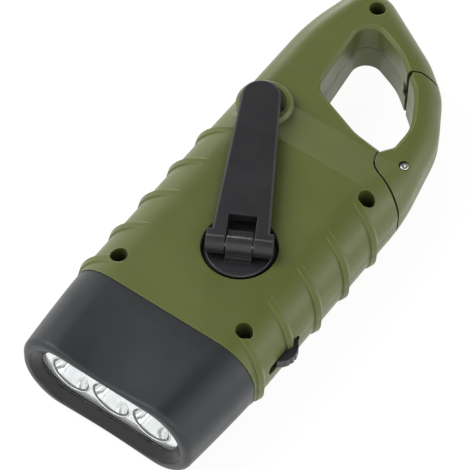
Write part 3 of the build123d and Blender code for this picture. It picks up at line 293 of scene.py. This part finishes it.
def window_sheet():
    """Polycarbonate window: nearly invisible from the front, with a hard gloss at a slant."""
    material, tree, surface, place = new_material("polycarbonate_window")
    haze = clouded(tree, place, 9 * MM, 0.02, 0.06)
    gloss = node(tree, "ShaderNodeBsdfGlossy", {"Color": (1, 1, 1, 1), "Roughness": haze}, "BSDF")
    through = node(tree, "ShaderNodeBsdfTransparent", {"Color": (0.97, 0.98, 0.98, 1)}, "BSDF")
    slant = node(tree, "ShaderNodeFresnel", {"IOR": 1.58}, "Fac")
    inner = node(tree, "ShaderNodeNewGeometry", out="Backfacing")
    outer = node(tree, "ShaderNodeMath", {0: 1.0, 1: inner}, 0, operation="SUBTRACT")
    share = node(tree, "ShaderNodeMath", {0: slant, 1: outer}, 0, operation="MULTIPLY")
    node(tree, "ShaderNodeMixShader", {0: share, 1: through, 2: gloss}, into=surface)
    return material


def matt(name, colour, roughness, spacing):
    """Coated, cast or laminated part inside the housing, with its own fine unevenness."""
    material, tree, surface, place = new_material(name)
    fine = clouded(tree, place, spacing, 0.0, 1.0)
    shade = node(tree, "ShaderNodeMix", {0: fine, 6: rgba(colour, 0.85), 7: rgba(colour, 1.12)}, 2,
                 data_type="RGBA")
    soft = node(tree, "ShaderNodeBevel", {"Radius": 0.15 * MM}, "Normal", samples=4)
    normal = node(tree, "ShaderNodeBump", {"Distance": 0.02 * MM, "Height": fine, "Normal": soft}, "Normal")
    node(tree, "ShaderNodeBsdfPrincipled", {
        "Base Color": shade, "Roughness": roughness, "IOR": 1.5, "Normal": normal}, into=surface)
    return material


def finishes():
    """Every finish by the record's slot name; hub_black, recess_black and lamp_phosphor are extra."""
    colours = bpy.context.scene.flashlight_colours
    sizes = bpy.context.scene.flashlight_sizes
    edge, grain = sizes.edge_round, sizes.grain
    return {
        # ABS, moulded in a spark-eroded tool: satin, coloured through, with white only at a slant
        "green_housing": moulded("moulded_abs_olive", colours.housing, 0.4, grain, edge, sizes.seam_width,
                                 hollow=0.12, sheen=0.2),
        # ABS with a slightly coarser tool: a soft blue-grey sheen over charcoal
        "black_plastic": moulded("moulded_abs_charcoal", colours.head, 0.4, grain, edge * 1.5),
        # The same ABS from a polished core: black, with a clear highlight
        "recess_black": moulded("polished_abs_recess", srgb("#161618"), 0.28, grain, edge, depth=0.003 * MM),
        # Glass-filled nylon: a little duller than ABS
        "crank_black": moulded("moulded_nylon_charcoal", colours.crank, 0.42, grain, edge * 1.3, mottle=0.1),
        # Polished acetal: dark grey with a clear highlight
        "hub_black": moulded("moulded_acetal_black", colours.hub, 0.26, grain, edge, depth=0.004 * MM),
        "slider_black": moulded("moulded_acetal_button", colours.hub, 0.34, grain, edge * 0.4),
        # Zinc over steel: dull grey, with the bright places where the driver has rubbed
        "screw_steel": metal("zinc_plated_screw", srgb("#8f9092"), 0.36, 0.3 * MM),
        # Ground pin, left bright
        "pin_steel": metal("bright_pin_steel", srgb("#e2e2df"), 0.3, 0.25 * MM),
        # Drawn wire: smooth and a little darker than the pin
        "spring_steel": metal("spring_wire", srgb("#a0a1a0"), 0.3, 0.2 * MM),
        # Turned brass: warm, with fine tool marks
        "bush_brass": metal("turned_brass", srgb("#b08d4c"), 0.3, 0.2 * MM),
        # Unfilled nylon: milky, with a soft gloss
        "gear_plastic": moulded("natural_nylon_gear", srgb("#e6e2d4"), 0.45, grain, 0.1 * MM),
        # Pressed and sintered: grey and slightly rough all over
        "magnet_grey": matt("sintered_magnet", srgb("#5a5b5e"), 0.45, 0.4 * MM),
        # Punched sheet iron: dull
        "iron_grey": matt("punched_iron", srgb("#6e6e70"), 0.5, 0.3 * MM),
        # Enamel over copper: reddish, with a varnish gloss
        "coil_copper": metal("enamelled_copper_wire", srgb("#b0623a"), 0.33, 0.3 * MM),
        # Shrunk vinyl sleeve: smooth, with faint creases
        "cell_wrap": matt("cell_sleeve", srgb("#4f7d52"), 0.3, 3 * MM),
        # Solder mask over glass cloth: green, with the weave's faint unevenness
        "board_green": matt("solder_mask", srgb("#2f6b3f"), 0.35, 1.5 * MM),
        "window_clear": window_sheet(),
        # Moulded silicone: black and dull
        "seal_rubber": matt("silicone_seal", srgb("#1c1c1e"), 0.7, 0.6 * MM),
        # Aluminium metallised on a moulded cup: a bright mirror with a trace of orange peel
        "reflector_chrome": metal("metallised_reflector", srgb("#fbfcfc"), 0.1, 2.5 * MM, 0.15 * MM, 0.03),
        # Clear epoxy: bends what is behind it, and glints on its dome
        "lamp_clear": clear_resin("clear_epoxy_resin", srgb("#fbfcfd")),
        # Phosphor over the chip: pale yellow when the lamp is off
        "lamp_phosphor": matt("phosphor_fill", srgb("#e5dc7e"), 0.6, 0.2 * MM),
    }


# ---------------------------------------------------------------- surfaces worked out on grids
def merged_mesh(name, grids):
    """One mesh from grids of points in millimetres, each (rows, columns, 3), closed along its columns.

    Neighbouring points in a grid are joined by quads, the last column to the first. Rows that end on
    the axis shrink to one point, and these points and the quads that collapse there are merged.
    """
    points, quads, start = [], [], 0
    for grid in grids:
        rows, columns = grid.shape[:2]
        i, j = np.meshgrid(np.arange(rows - 1), np.arange(columns), indexing="ij")
        following = (j + 1) % columns
        quad = np.stack([i * columns + j, i * columns + following,
                         (i + 1) * columns + following, (i + 1) * columns + j], axis=-1)
        points.append(grid.reshape(-1, 3) * MM)
        quads.append(quad.reshape(-1, 4) + start)
        start += rows * columns
    mesh = bpy.data.meshes.new(name)
    mesh.from_pydata(np.concatenate(points), [], np.concatenate(quads).tolist())
    work = bmesh.new()
    work.from_mesh(mesh)
    bmesh.ops.remove_doubles(work, verts=work.verts, dist=1e-7)
    bmesh.ops.dissolve_degenerate(work, edges=work.edges, dist=1e-8)
    bmesh.ops.recalc_face_normals(work, faces=work.faces)
    work.to_mesh(mesh)
    work.free()
    mesh.polygons.foreach_set("use_smooth", np.ones(len(mesh.polygons), bool))
    mesh.set_sharp_from_angle(angle=math.radians(38))
    return mesh


def turned(profile, origin, axis, steps, shift=None):
    """Grid of a turned piece: P(t, a) = origin + r(t) (X cos a + Y sin a) + (h(t) + shift) axis.

    X and Y are two directions across the axis. shift, if given, is a function of the points' two
    places across the axis, and raises or sinks them along it.
    """
    along = Vector(axis).normalized()
    across = along.orthogonal().normalized()
    third = np.array(along.cross(across))
    across, along = np.array(across), np.array(along)
    radius, height = np.asarray(profile, float).T
    turn = np.linspace(0, 2 * math.pi, steps, endpoint=False)
    u = radius[:, None] * np.cos(turn)
    v = radius[:, None] * np.sin(turn)
    h = np.broadcast_to(height[:, None], u.shape)
    if shift is not None:
        h = h + shift(u, v, np.arange(len(radius))[:, None])
    grid = u[..., None] * across + v[..., None] * third + h[..., None] * along
    return grid + np.array(origin, float)


def arc(centre, radius, first, last, count):
    """Profile points on a circle between two angles in degrees."""
    turn = np.radians(np.linspace(first, last, count))
    return np.stack([centre[0] + radius * np.cos(turn), centre[1] + radius * np.sin(turn)], axis=1)


def rounded_ring(half_width, half_height, corner, dish, y, inset=0.0):
    """Closed ring of points in the plane at y: a rounded rectangle whose long sides sink in the middle.

    Each point is a corner's centre, or a place between two, plus the corner's radius at its angle.
    The long sides then sink by dish cos^2(90 deg x / w), with w the half width less half the corner,
    and every point moves in by inset. y and inset may differ from point to point.
    """
    def side(first, last, count):
        return np.linspace(first, last, count, endpoint=False)

    quarter, long_side, short_side = 24, 48, 4
    signs = ((1, 1), (-1, 1), (-1, -1), (1, -1))
    right, up, turn = [], [], []
    for n, (x, z) in enumerate(signs):
        straight = long_side if n % 2 == 0 else short_side
        next_x, next_z = signs[(n + 1) % 4]
        right += [np.full(quarter, x), side(x, next_x, straight)]
        up += [np.full(quarter, z), side(z, next_z, straight)]
        turn += [side(90 * n, 90 * n + 90, quarter), np.full(straight, 90.0 * n + 90)]
    right, up, turn = (np.concatenate(part).astype(float) for part in (right, up, turn))
    turn = np.radians(turn)
    x = right * (half_width - corner) + corner * np.cos(turn)
    z = up * (half_height - corner) + corner * np.sin(turn)
    reach = np.clip(abs(x) / (half_width - corner / 2), 0, 1)
    z = z - dish * np.sin(turn) * np.cos(reach * math.pi / 2) ** 2
    x = x - inset * np.cos(turn)
    z = z - inset * np.sin(turn)
    return np.stack([x, np.broadcast_to(y, x.shape), z + PARTING], axis=1)


def stadium(middle, radius, y):
    """Closed ring of points in the plane at y: two half circles, their centres at -middle and middle."""
    return rounded_ring(middle + radius, radius, radius, 0.0, y)


def finish_named(name):
    """The material of a finish, found by the name kept on the scene."""
    return bpy.data.materials[bpy.context.scene["finish_" + name]]


def add_piece(name, grids, body, finish):
    """Puts a piece made from grids in the scene, with its finish, on the body that carries it.

    A finish has the name of the record's slot, unless the record has no such slot.
    """
    mesh = merged_mesh(name, grids)
    mesh.materials.append(finish_named(finish))
    piece = bpy.data.objects.new(name, mesh)
    bpy.context.scene.collection.objects.link(piece)
    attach(piece, body)
    return piece


# ---------------------------------------------------------------- operators
class FLASHLIGHT_OT_finishes(bpy.types.Operator):
    """Gives every CAD piece its finish"""

    bl_idname = "flashlight.finishes"
    bl_label = "Finish the CAD pieces"

    def execute(self, context):
        made = finishes()
        for slot, material in made.items():
            context.scene["finish_" + slot] = material.name
        own = {"crank_hub": "hub_black", "crank_knob": "hub_black", "crank_hinge_pin": "screw_steel"}
        for part in frame["record"]["subparts"]:
            name = part["node"]
            piece = frame["nodes"][name]
            piece.data.materials.clear()
            piece.data.materials.append(made[own.get(name, part["material_slot"])])
        return {"FINISHED"}


class FLASHLIGHT_OT_head(bpy.types.Operator):
    """Adds the smooth lamp head: dished above and below, with a thick rounded lip round the recess"""

    bl_idname = "flashlight.head"
    bl_label = "Lamp head"

    def execute(self, context):
        """A closed wall swept once round: out along the outside, which tapers and dishes towards the nose
        as t^2 (3 - 2 t), round the lip on a quarter circle, down the recess to the window's stop, back
        inside the cavity and round the spigot that enters the housing. The lip is rounder at the ends:
        its radius is 0.75 + 0.9 sin^2(90 deg x / half width) mm."""
        wide, nose_wide, high, corner = 26.85, 25.2, 12.25, 11.0
        least_lip, wider_lip, inner_lip = 0.75, 0.9, 0.35
        across = rounded_ring(nose_wide, high, corner, HEAD_DISH, NOSE_Y)[:, 0]
        lip = least_lip + wider_lip * np.sin(np.clip(abs(across) / nose_wide, 0, 1) * math.pi / 2) ** 2
        rings = []
        for t in np.linspace(0, 1, 32):
            y = HEAD_JOINT_Y + (NOSE_Y + lip - HEAD_JOINT_Y) * t
            width = wide + (nose_wide - wide) * t ** 1.3
            rings.append(rounded_ring(width, high, corner, HEAD_DISH * t * t * (3 - 2 * t), y))
        for turn in np.radians(np.linspace(10, 90, 9)):
            y = NOSE_Y + lip * (1 - math.sin(turn))
            rings.append(rounded_ring(nose_wide, high, corner, HEAD_DISH, y, lip * (1 - math.cos(turn))))
        for turn in np.radians(np.linspace(0, 90, 6)):
            radius = RECESS_RADIUS + inner_lip * (1 - math.sin(turn))
            rings.append(stadium(RECESS_MIDDLE, radius, NOSE_Y + inner_lip * (1 - math.cos(turn))))
        # The inside's stadiums: half the line between their ends' centres, and the ends' radius
        hole, seat, cavity = (WINDOW_MIDDLE, 7.2), (WINDOW_MIDDLE, 8.6), (14.1, 9.1)
        spigot_bore, spigot = (14.6, 8.9), (14.6, 10.3)
        seat_back, cavity_back, spigot_end = -45.4, -24.4, -22.8
        rings += [stadium(*shape, y) for shape, y in (
            (hole, STOP_Y), (seat, STOP_Y), (seat, seat_back), (cavity, seat_back), (cavity, cavity_back),
            (spigot_bore, spigot_end), (spigot, spigot_end), (spigot, HEAD_JOINT_Y))]
        rings.append(rounded_ring(wide, high, corner, 0.0, HEAD_JOINT_Y))
        piece = add_piece("lamp_head", [np.stack(rings)], "housing", "black_plastic")
        piece.data.materials.append(finish_named("recess_black"))
        faces = piece.data.polygons
        centres = np.empty(len(faces) * 3)
        faces.foreach_get("center", centres)
        x, y, z = centres.reshape(-1, 3).T / MM
        from_middle = np.hypot(np.maximum(abs(x) - RECESS_MIDDLE, 0), z - PARTING)
        up_the_lip, behind_seat, behind_nose = RECESS_RADIUS + 0.15, seat_back + 0.4, NOSE_Y + 0.03
        recess = (from_middle < up_the_lip) & (y < behind_seat) & (y > behind_nose)
        faces.foreach_set("material_index", recess.astype(np.int32))
        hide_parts("head_bezel")
        return {"FINISHED"}


class FLASHLIGHT_OT_window(bpy.types.Operator):
    """Adds the thin clear window"""

    bl_idname = "flashlight.window"
    bl_label = "Window"

    def execute(self, context):
        """Rings of a stadium from its middle line out to its edge, over the edge, and back in behind."""
        radius, thickness, edge = 7.4, 0.5, 0.1
        front, back = WINDOW_FRONT, WINDOW_FRONT + thickness
        outwards = [0.0, 2.5, 5.0, radius - edge]
        rows = [(s, front) for s in outwards] + [(radius, front + edge), (radius, back - edge)]
        rows += [(s, back) for s in reversed(outwards)]
        grid = np.stack([stadium(WINDOW_MIDDLE, s, y) for s, y in rows])
        piece = add_piece("window_sheet", [grid], "housing", "window_clear")
        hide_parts("lens_window")
        return {"FINISHED"}


class FLASHLIGHT_OT_reflector(bpy.types.Operator):
    """Adds the mirror plate with its three cups, and a black ring as painted shade in the groove round each
    """

    bl_idname = "flashlight.reflector"
    bl_label = "Reflector"

    def border(self, turn, n):
        """Distance from cup n's axis to the edge of its part of the plate, in each direction.

        It is the nearer of the plate's long side, h / |sin a|, and halfway to the next cup, or on the
        last cups' outer sides the plate's round end, c cos a + sqrt(h^2 - c^2 sin^2 a).
        """
        half_height, past_cup, hairline = 8.4, 0.93, 0.01
        long_side = half_height / np.maximum(abs(np.sin(turn)), 1e-6)
        halfway = (LAMP_PITCH / 2 - hairline) / np.maximum(abs(np.cos(turn)), 1e-6)
        round_end = past_cup * abs(np.cos(turn)) + np.sqrt(half_height**2 - (past_cup * np.sin(turn)) ** 2)
        has_next = (np.cos(turn) > 0) & (n < 2) | (np.cos(turn) <= 0) & (n > 0)
        return np.minimum(long_side, np.where(has_next, halfway, round_end))

    def cell(self, front, back, plate, turn, n):
        """Grid of one part of the plate: rows at a distance from the axis and a depth behind the front."""
        edge = self.border(turn, n)
        rows = [*front, (edge, 0.0), (edge, plate), *back, front[0]]
        return np.stack([
            np.stack([LAMP_XS[n] + r * np.cos(turn), np.full_like(turn, REFLECTOR_Y + depth),
                      PARTING + r * np.sin(turn)], axis=1) for r, depth in rows])

    def execute(self, context):
        """Each cup deepens as the square of its radius: depth = D (1 - (r^2 - t^2) / (m^2 - t^2)), with
        m the mouth's radius and t the throat's, and a shallow ripple makes three rings in it. A groove
        parts it from the rolled rim. From there every row runs straight out to the cell's border, and
        the wall's back follows 0.15 mm behind. A black ring with a blunt crest fills the groove as painted
        shade."""
        sizes = context.scene.flashlight_sizes
        mouth, throat, mouth_sink, board_gap = sizes.cup_mouth / MM, 2.72, 0.1, 0.05
        ripple_height, ripple_count = 0.04, 3
        groove_wide, groove_deep, groove_edge, rim_round = 0.18, 0.9, 0.02, 0.18
        plate, wall, wall_start = 0.25, (0.1, 0.15), 6
        depth = LAMP_BOARD_Y - board_gap - REFLECTOR_Y
        r = np.linspace(throat, mouth, 64)
        fall = depth * (1 - (r**2 - throat**2) / (mouth**2 - throat**2)) + mouth_sink
        ripple = ripple_height * np.sin((r - throat) / (mouth - throat) * ripple_count * 2 * math.pi)
        cup = np.stack([r, fall + ripple], axis=1)
        groove = [(mouth + groove_edge, groove_deep), (mouth + groove_wide - groove_edge, groove_deep),
                  (mouth + groove_wide, 0.05)]
        rim = arc((mouth + groove_wide + rim_round, 0.0), rim_round, 180, 360, 13)
        front = np.concatenate([cup, groove, rim])
        behind_rim = [(mouth + groove_wide + 2 * rim_round, plate), (mouth + 0.3, 1.1), (mouth + 0.1, 1.2)]
        back = np.concatenate([behind_rim, (cup[::-1] + wall)[wall_start:]])
        turn = np.linspace(0, 2 * math.pi, 2 * sizes.round_steps, endpoint=False)
        cells = [self.cell(front, back, plate, turn, n) for n in range(len(LAMP_XS))]
        add_piece("reflector_cups", cells, "housing", "reflector_chrome")
        # Painted shade: a black ring in each cup's groove, in the silicone finish, stands for the groove's
        # shadow.
        inside, outside, crest, foot = mouth - 0.06, mouth + 0.2, (mouth + 0.05, -0.05), 0.85
        band = [(inside, foot), (inside, 0.0), crest, (outside, 0.0), (outside, foot), (inside, foot)]
        groove_shade_rings = [turned(band, (x, REFLECTOR_Y, PARTING), (0, 1, 0), sizes.round_steps) for x in LAMP_XS]
        add_piece("cup_groove_shade_rings", groove_shade_rings, "housing", "seal_rubber")
        return {"FINISHED"}


class FLASHLIGHT_OT_lamps(bpy.types.Operator):
    """Adds the three clear domed lamps with the metal cup and phosphor inside each"""

    bl_idname = "flashlight.lamps"
    bl_label = "Lamps"

    def execute(self, context):
        """A lamp is turned: a flange, a straight side and a half circle on top. Inside it a small cup on
        a post holds a dish of phosphor."""
        sizes = context.scene.flashlight_sizes
        radius, steps = sizes.lamp_radius / MM, sizes.round_steps
        length, flange, flange_thick, edge, fillet = 5.4, 0.3, 0.9, 0.1, 0.05
        rim = radius + flange
        dome = np.concatenate([
            [(0, 0), (rim - edge, 0), (rim, edge), (rim, flange_thick - edge), (rim - edge, flange_thick),
             (radius + fillet, flange_thick), (radius, flange_thick + fillet)],
            arc((0, length - radius), radius, 0, 90, 24),
        ])
        post, bowl, bowl_foot, bowl_top = 0.45, 1.0, 2.3, 2.9
        cup = [(0, flange_thick), (post, flange_thick), (post, 2.0), (bowl - 0.05, bowl_foot),
               (bowl, bowl_top), (bowl - 0.15, bowl_top + 0.02), (0.6, 2.5), (0, 2.45)]
        drop = np.concatenate([[(0, 2.47), (0.58, 2.52)], arc((0, 2.35), 0.72, 30, 90, 10)])
        dome[-1, 0] = drop[-1, 0] = 0
        for n, x in enumerate(LAMP_XS, 1):
            place, forward = (x, LAMP_BOARD_Y, PARTING), (0, -1, 0)
            lamp = add_piece(f"lamp_dome_{n}", [turned(dome, place, forward, steps)], "housing", "lamp_clear")
            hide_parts(f"led_{n}")
            add_piece(f"lamp_cup_{n}", [turned(cup, place, forward, 32)], "housing", "pin_steel")
            add_piece(f"lamp_phosphor_{n}", [turned(drop, place, forward, 32)], "housing", "lamp_phosphor")
        return {"FINISHED"}


class FLASHLIGHT_OT_screws(bpy.types.Operator):
    """Adds the shell screws with domed heads and cross recesses"""

    bl_idname = "flashlight.screws"
    bl_label = "Shell screws"

    def execute(self, context):
        """The head's top is a shallow dome. It sinks by 0.7 mm where the smaller of |u| and |v| is under
        half the recess's width and the larger is under its length, both with soft edges."""
        sizes = context.scene.flashlight_sizes
        head, head_height, crowning, head_edge = sizes.screw_head / MM, 1.3, 0.35, 0.25
        shank, shank_length, point = 1.05, 6.2, 0.7
        recess_deep, recess_wide, recess_long = 0.7, 0.3, 1.15
        crown = np.linspace(0, head - head_edge, 26)
        top = np.stack([crown, head_height - crowning * (crown / head) ** 2], axis=1)
        side = np.array([(head - 0.08, 0.85), (head, 0.6), (head, 0.02), (shank, 0.0),
                         (shank, -shank_length), (0, -shank_length - point)])
        profile = np.concatenate([top, side])
        on_top = len(top)

        def soft(value):
            value = np.clip(value, 0, 1)
            return value * value * (3 - 2 * value)

        def recess(u, v, row):
            small, large = np.minimum(abs(u), abs(v)), np.maximum(abs(u), abs(v))
            inside = soft((recess_wide - small) / 0.14 + 0.5) * soft((recess_long - large) / 0.2 + 0.5)
            return np.where(row < on_top, -recess_deep * inside, 0.0)

        grids = [turned(profile, (x, y, WELL_FLOOR), (0, 0, 1), 120, recess) for x, y in WELLS]
        piece = add_piece("cross_head_screws", grids, "housing", "screw_steel")
        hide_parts("shell_screws")
        return {"FINISHED"}


class FLASHLIGHT_OT_gate_pin(bpy.types.Operator):
    """Adds the domed heads at both ends of the gate's pin"""

    bl_idname = "flashlight.gate_pin"
    bl_label = "Gate pin heads"

    def execute(self, context):
        """A head is turned: a short side, a rounded edge and a shallow dome with a dimple in its middle."""
        sizes = context.scene.flashlight_sizes
        head, side, edge, height, crowning = sizes.pin_head / MM, 0.3, 0.2, 0.62, 0.12
        dimple, dimple_wide, foot = 0.18, 0.35, 0.02
        crown = np.linspace(head - edge, 0, 20)
        sunk = dimple * np.exp(-(crown / dimple_wide) ** 2)
        dome = np.stack([crown, height - crowning * (crown / head) ** 2 - sunk], axis=1)
        rounded = arc((head - edge, side), edge, 0, 70, 6)
        profile = np.concatenate([[(0, foot), (head, foot), (head, side)], rounded, dome])
        grids = [
            turned(profile, (*GATE_PIN, RING_FRONT - GATE_PIN_SINK), (0, 0, 1), sizes.round_steps),
            turned(profile, (*GATE_PIN, RING_BACK + GATE_PIN_SINK), (0, 0, -1), sizes.round_steps),
        ]
        add_piece("gate_pin_heads", grids, "housing", "pin_steel")
        return {"FINISHED"}


def softbox(name, power, size, place, target):
    """A square lamp that faces a point."""
    data = bpy.data.lights.new(name, "AREA")
    data.energy, data.shape, data.size = power, "SQUARE", size
    lamp = bpy.data.objects.new(name, data)
    lamp.location = place
    lamp.rotation_mode = "QUATERNION"
    lamp.rotation_quaternion = (Vector(target) - Vector(place)).to_track_quat("-Z", "Y")
    bpy.context.scene.collection.objects.link(lamp)


class FLASHLIGHT_OT_stage(bpy.types.Operator):
    """Lays the floor and sets up the light tent, the softboxes and the camera"""

    bl_idname = "flashlight.stage"
    bl_label = "Stage"

    def seen_directly(self, tree):
        """1 for rays from the camera, a mirror or a clear piece."""
        path = node(tree, "ShaderNodeLightPath")
        first = node(tree, "ShaderNodeMath", {
            0: path.outputs["Is Camera Ray"], 1: path.outputs["Is Glossy Ray"]}, 0, operation="MAXIMUM")
        return node(tree, "ShaderNodeMath", {0: first, 1: path.outputs["Is Transmission Ray"]}, 0,
                    operation="MAXIMUM")

    def lay_floor(self, colour):
        """A wide flat sheet under the flashlight that looks white where it is lit and keeps the shadow."""
        side, glow, shadow_share = 2.0, 0.93, 0.14
        mesh = bpy.data.meshes.new("floor")
        mesh.from_pydata([(-side, -side, 0), (side, -side, 0), (side, side, 0), (-side, side, 0)], [],
                         [(0, 1, 2, 3)])
        floor = bpy.data.objects.new("floor", mesh)
        bpy.context.scene.collection.objects.link(floor)
        material, tree, surface, _ = new_material("white_sweep")
        paper = node(tree, "ShaderNodeBsdfDiffuse", {"Color": rgba(colour)}, "BSDF")
        shaded = node(tree, "ShaderNodeBsdfDiffuse", {"Color": rgba(colour, shadow_share)}, "BSDF")
        white = node(tree, "ShaderNodeEmission", {"Color": (1, 1, 1, 1), "Strength": glow}, 0)
        seen = node(tree, "ShaderNodeAddShader", {0: shaded, 1: white}, 0)
        node(tree, "ShaderNodeMixShader", {0: self.seen_directly(tree), 1: paper, 2: seen}, into=surface)
        mesh.materials.append(material)

    def light_tent(self, strength):
        """Pale light from all round, stronger from the sides than from above, and plain white where it is
        seen directly. A dark card hangs above and behind, so that flat tops keep their colour."""
        low, high, from_above = 0.1, 0.8, 0.35
        card_way, card_edge, card_middle, card_shade = (-0.323, 0.474, 0.819), 0.5, 0.86, 0.12
        world = bpy.data.worlds.new("light_tent")
        world.use_nodes = True
        tree = world.node_tree
        tree.nodes.clear()
        output = node(tree, "ShaderNodeOutputWorld").inputs["Surface"]
        direction = node(tree, "ShaderNodeTexCoord", out="Generated")
        height = node(tree, "ShaderNodeSeparateXYZ", {"Vector": direction}, "Z")
        glow = node(tree, "ShaderNodeMapRange", {
            "Value": height, "From Min": low, "From Max": high, "To Min": strength,
            "To Max": strength * from_above}, 0)
        even = node(tree, "ShaderNodeBackground", {"Color": (1, 1, 1, 1), "Strength": glow}, 0)
        nearness = node(tree, "ShaderNodeVectorMath", {0: direction, 1: card_way}, "Value",
                        operation="DOT_PRODUCT")
        card = node(tree, "ShaderNodeMapRange", {
            "Value": nearness, "From Min": card_edge, "From Max": card_middle, "To Min": 1.0,
            "To Max": card_shade}, 0, interpolation_type="SMOOTHSTEP")
        mirrored = node(tree, "ShaderNodeBackground", {"Color": (1, 1, 1, 1), "Strength": card}, 0)
        white = node(tree, "ShaderNodeBackground", {"Color": (1, 1, 1, 1), "Strength": 1.0}, 0)
        path = node(tree, "ShaderNodeLightPath")
        bare = node(tree, "ShaderNodeMath", {
            0: path.outputs["Is Camera Ray"], 1: path.outputs["Is Transmission Ray"]}, 0, operation="MAXIMUM")
        unlit = node(tree, "ShaderNodeMixShader", {0: path.outputs["Is Glossy Ray"], 1: even, 2: mirrored}, 0)
        node(tree, "ShaderNodeMixShader", {0: bare, 1: unlit, 2: white}, into=output)
        bpy.context.scene.world = world

    def place_camera(self, stage):
        """Camera on a sphere round the target: back = (sin a cos e, -cos a cos e, sin e), then rolled."""
        a, e, roll = stage.azimuth, stage.elevation, stage.roll
        back = Vector((math.sin(a) * math.cos(e), -math.cos(a) * math.cos(e), math.sin(e)))
        right = Vector((math.cos(a), math.sin(a), 0))
        up = back.cross(right)
        turned_right = right * math.cos(roll) + up * math.sin(roll)
        turned_up = up * math.cos(roll) - right * math.sin(roll)
        data = bpy.data.cameras.new("camera")
        data.sensor_width, data.lens = 36.0, stage.lens
        data.clip_start, data.clip_end = 0.01, 20
        camera = bpy.data.objects.new("camera", data)
        facing = Matrix((turned_right, turned_up, back)).transposed().to_4x4()
        target = Vector((-4.03, 9.39, PARTING)) * MM
        camera.matrix_world = Matrix.Translation(target + back * stage.distance) @ facing
        bpy.context.scene.collection.objects.link(camera)
        bpy.context.scene.camera = camera

    def execute(self, context):
        stage = context.scene.flashlight_stage
        self.lay_floor(context.scene.flashlight_colours.floor)
        self.light_tent(stage.tent)
        centre = (0, 0.02, 0.012)
        softbox("key_softbox", stage.key_power, 0.5, (-0.45, -0.1, 0.55), centre)
        softbox("fill_softbox", stage.fill_power, 0.6, (0.55, -0.35, 0.45), centre)
        softbox("left_rim_softbox", stage.rim_power, 0.3, (-0.55, 0.6, 0.16), centre)
        softbox("right_rim_softbox", stage.rim_power * 0.5, 0.3, (0.65, 0.45, 0.16), centre)
        self.place_camera(stage)
        context.scene.view_settings.view_transform = "Standard"
        return {"FINISHED"}


class FLASHLIGHT_PT_panel(bpy.types.Panel):
    """Lists the steps and what can be changed"""

    bl_idname = "FLASHLIGHT_PT_panel"
    bl_label = "Hand Crank Flashlight"
    bl_space_type = "VIEW_3D"
    bl_region_type = "UI"
    bl_category = "Flashlight"

    def draw(self, context):
        scene = context.scene
        for group in (scene.flashlight_colours, scene.flashlight_sizes, scene.flashlight_stage):
            box = self.layout.box()
            for name in group.__annotations__:
                box.prop(group, name)
        for step in STEPS:
            self.layout.operator(step.bl_idname)


GROUPS = {
    "flashlight_colours": FlashlightColours,
    "flashlight_sizes": FlashlightSizes,
    "flashlight_stage": FlashlightStage,
}
STEPS = (
    FLASHLIGHT_OT_finishes,
    FLASHLIGHT_OT_head,
    FLASHLIGHT_OT_window,
    FLASHLIGHT_OT_reflector,
    FLASHLIGHT_OT_lamps,
    FLASHLIGHT_OT_screws,
    FLASHLIGHT_OT_gate_pin,
    FLASHLIGHT_OT_stage,
)


def register():
    """Registers the groups, the operators and the panel."""
    for kind in (*GROUPS.values(), *STEPS, FLASHLIGHT_PT_panel):
        bpy.utils.register_class(kind)
    for name, kind in GROUPS.items():
        setattr(bpy.types.Scene, name, PointerProperty(type=kind))


def unregister():
    """Takes back what register added."""
    for name in GROUPS:
        delattr(bpy.types.Scene, name)
    for kind in reversed((*GROUPS.values(), *STEPS, FLASHLIGHT_PT_panel)):
        bpy.utils.unregister_class(kind)


def main():
    """Registers the add-on and runs every step in order."""
    register()
    for step in STEPS:
        group, name = step.bl_idname.split(".")
        getattr(getattr(bpy.ops, group), name)()


if __name__ == "__main__":
    main()
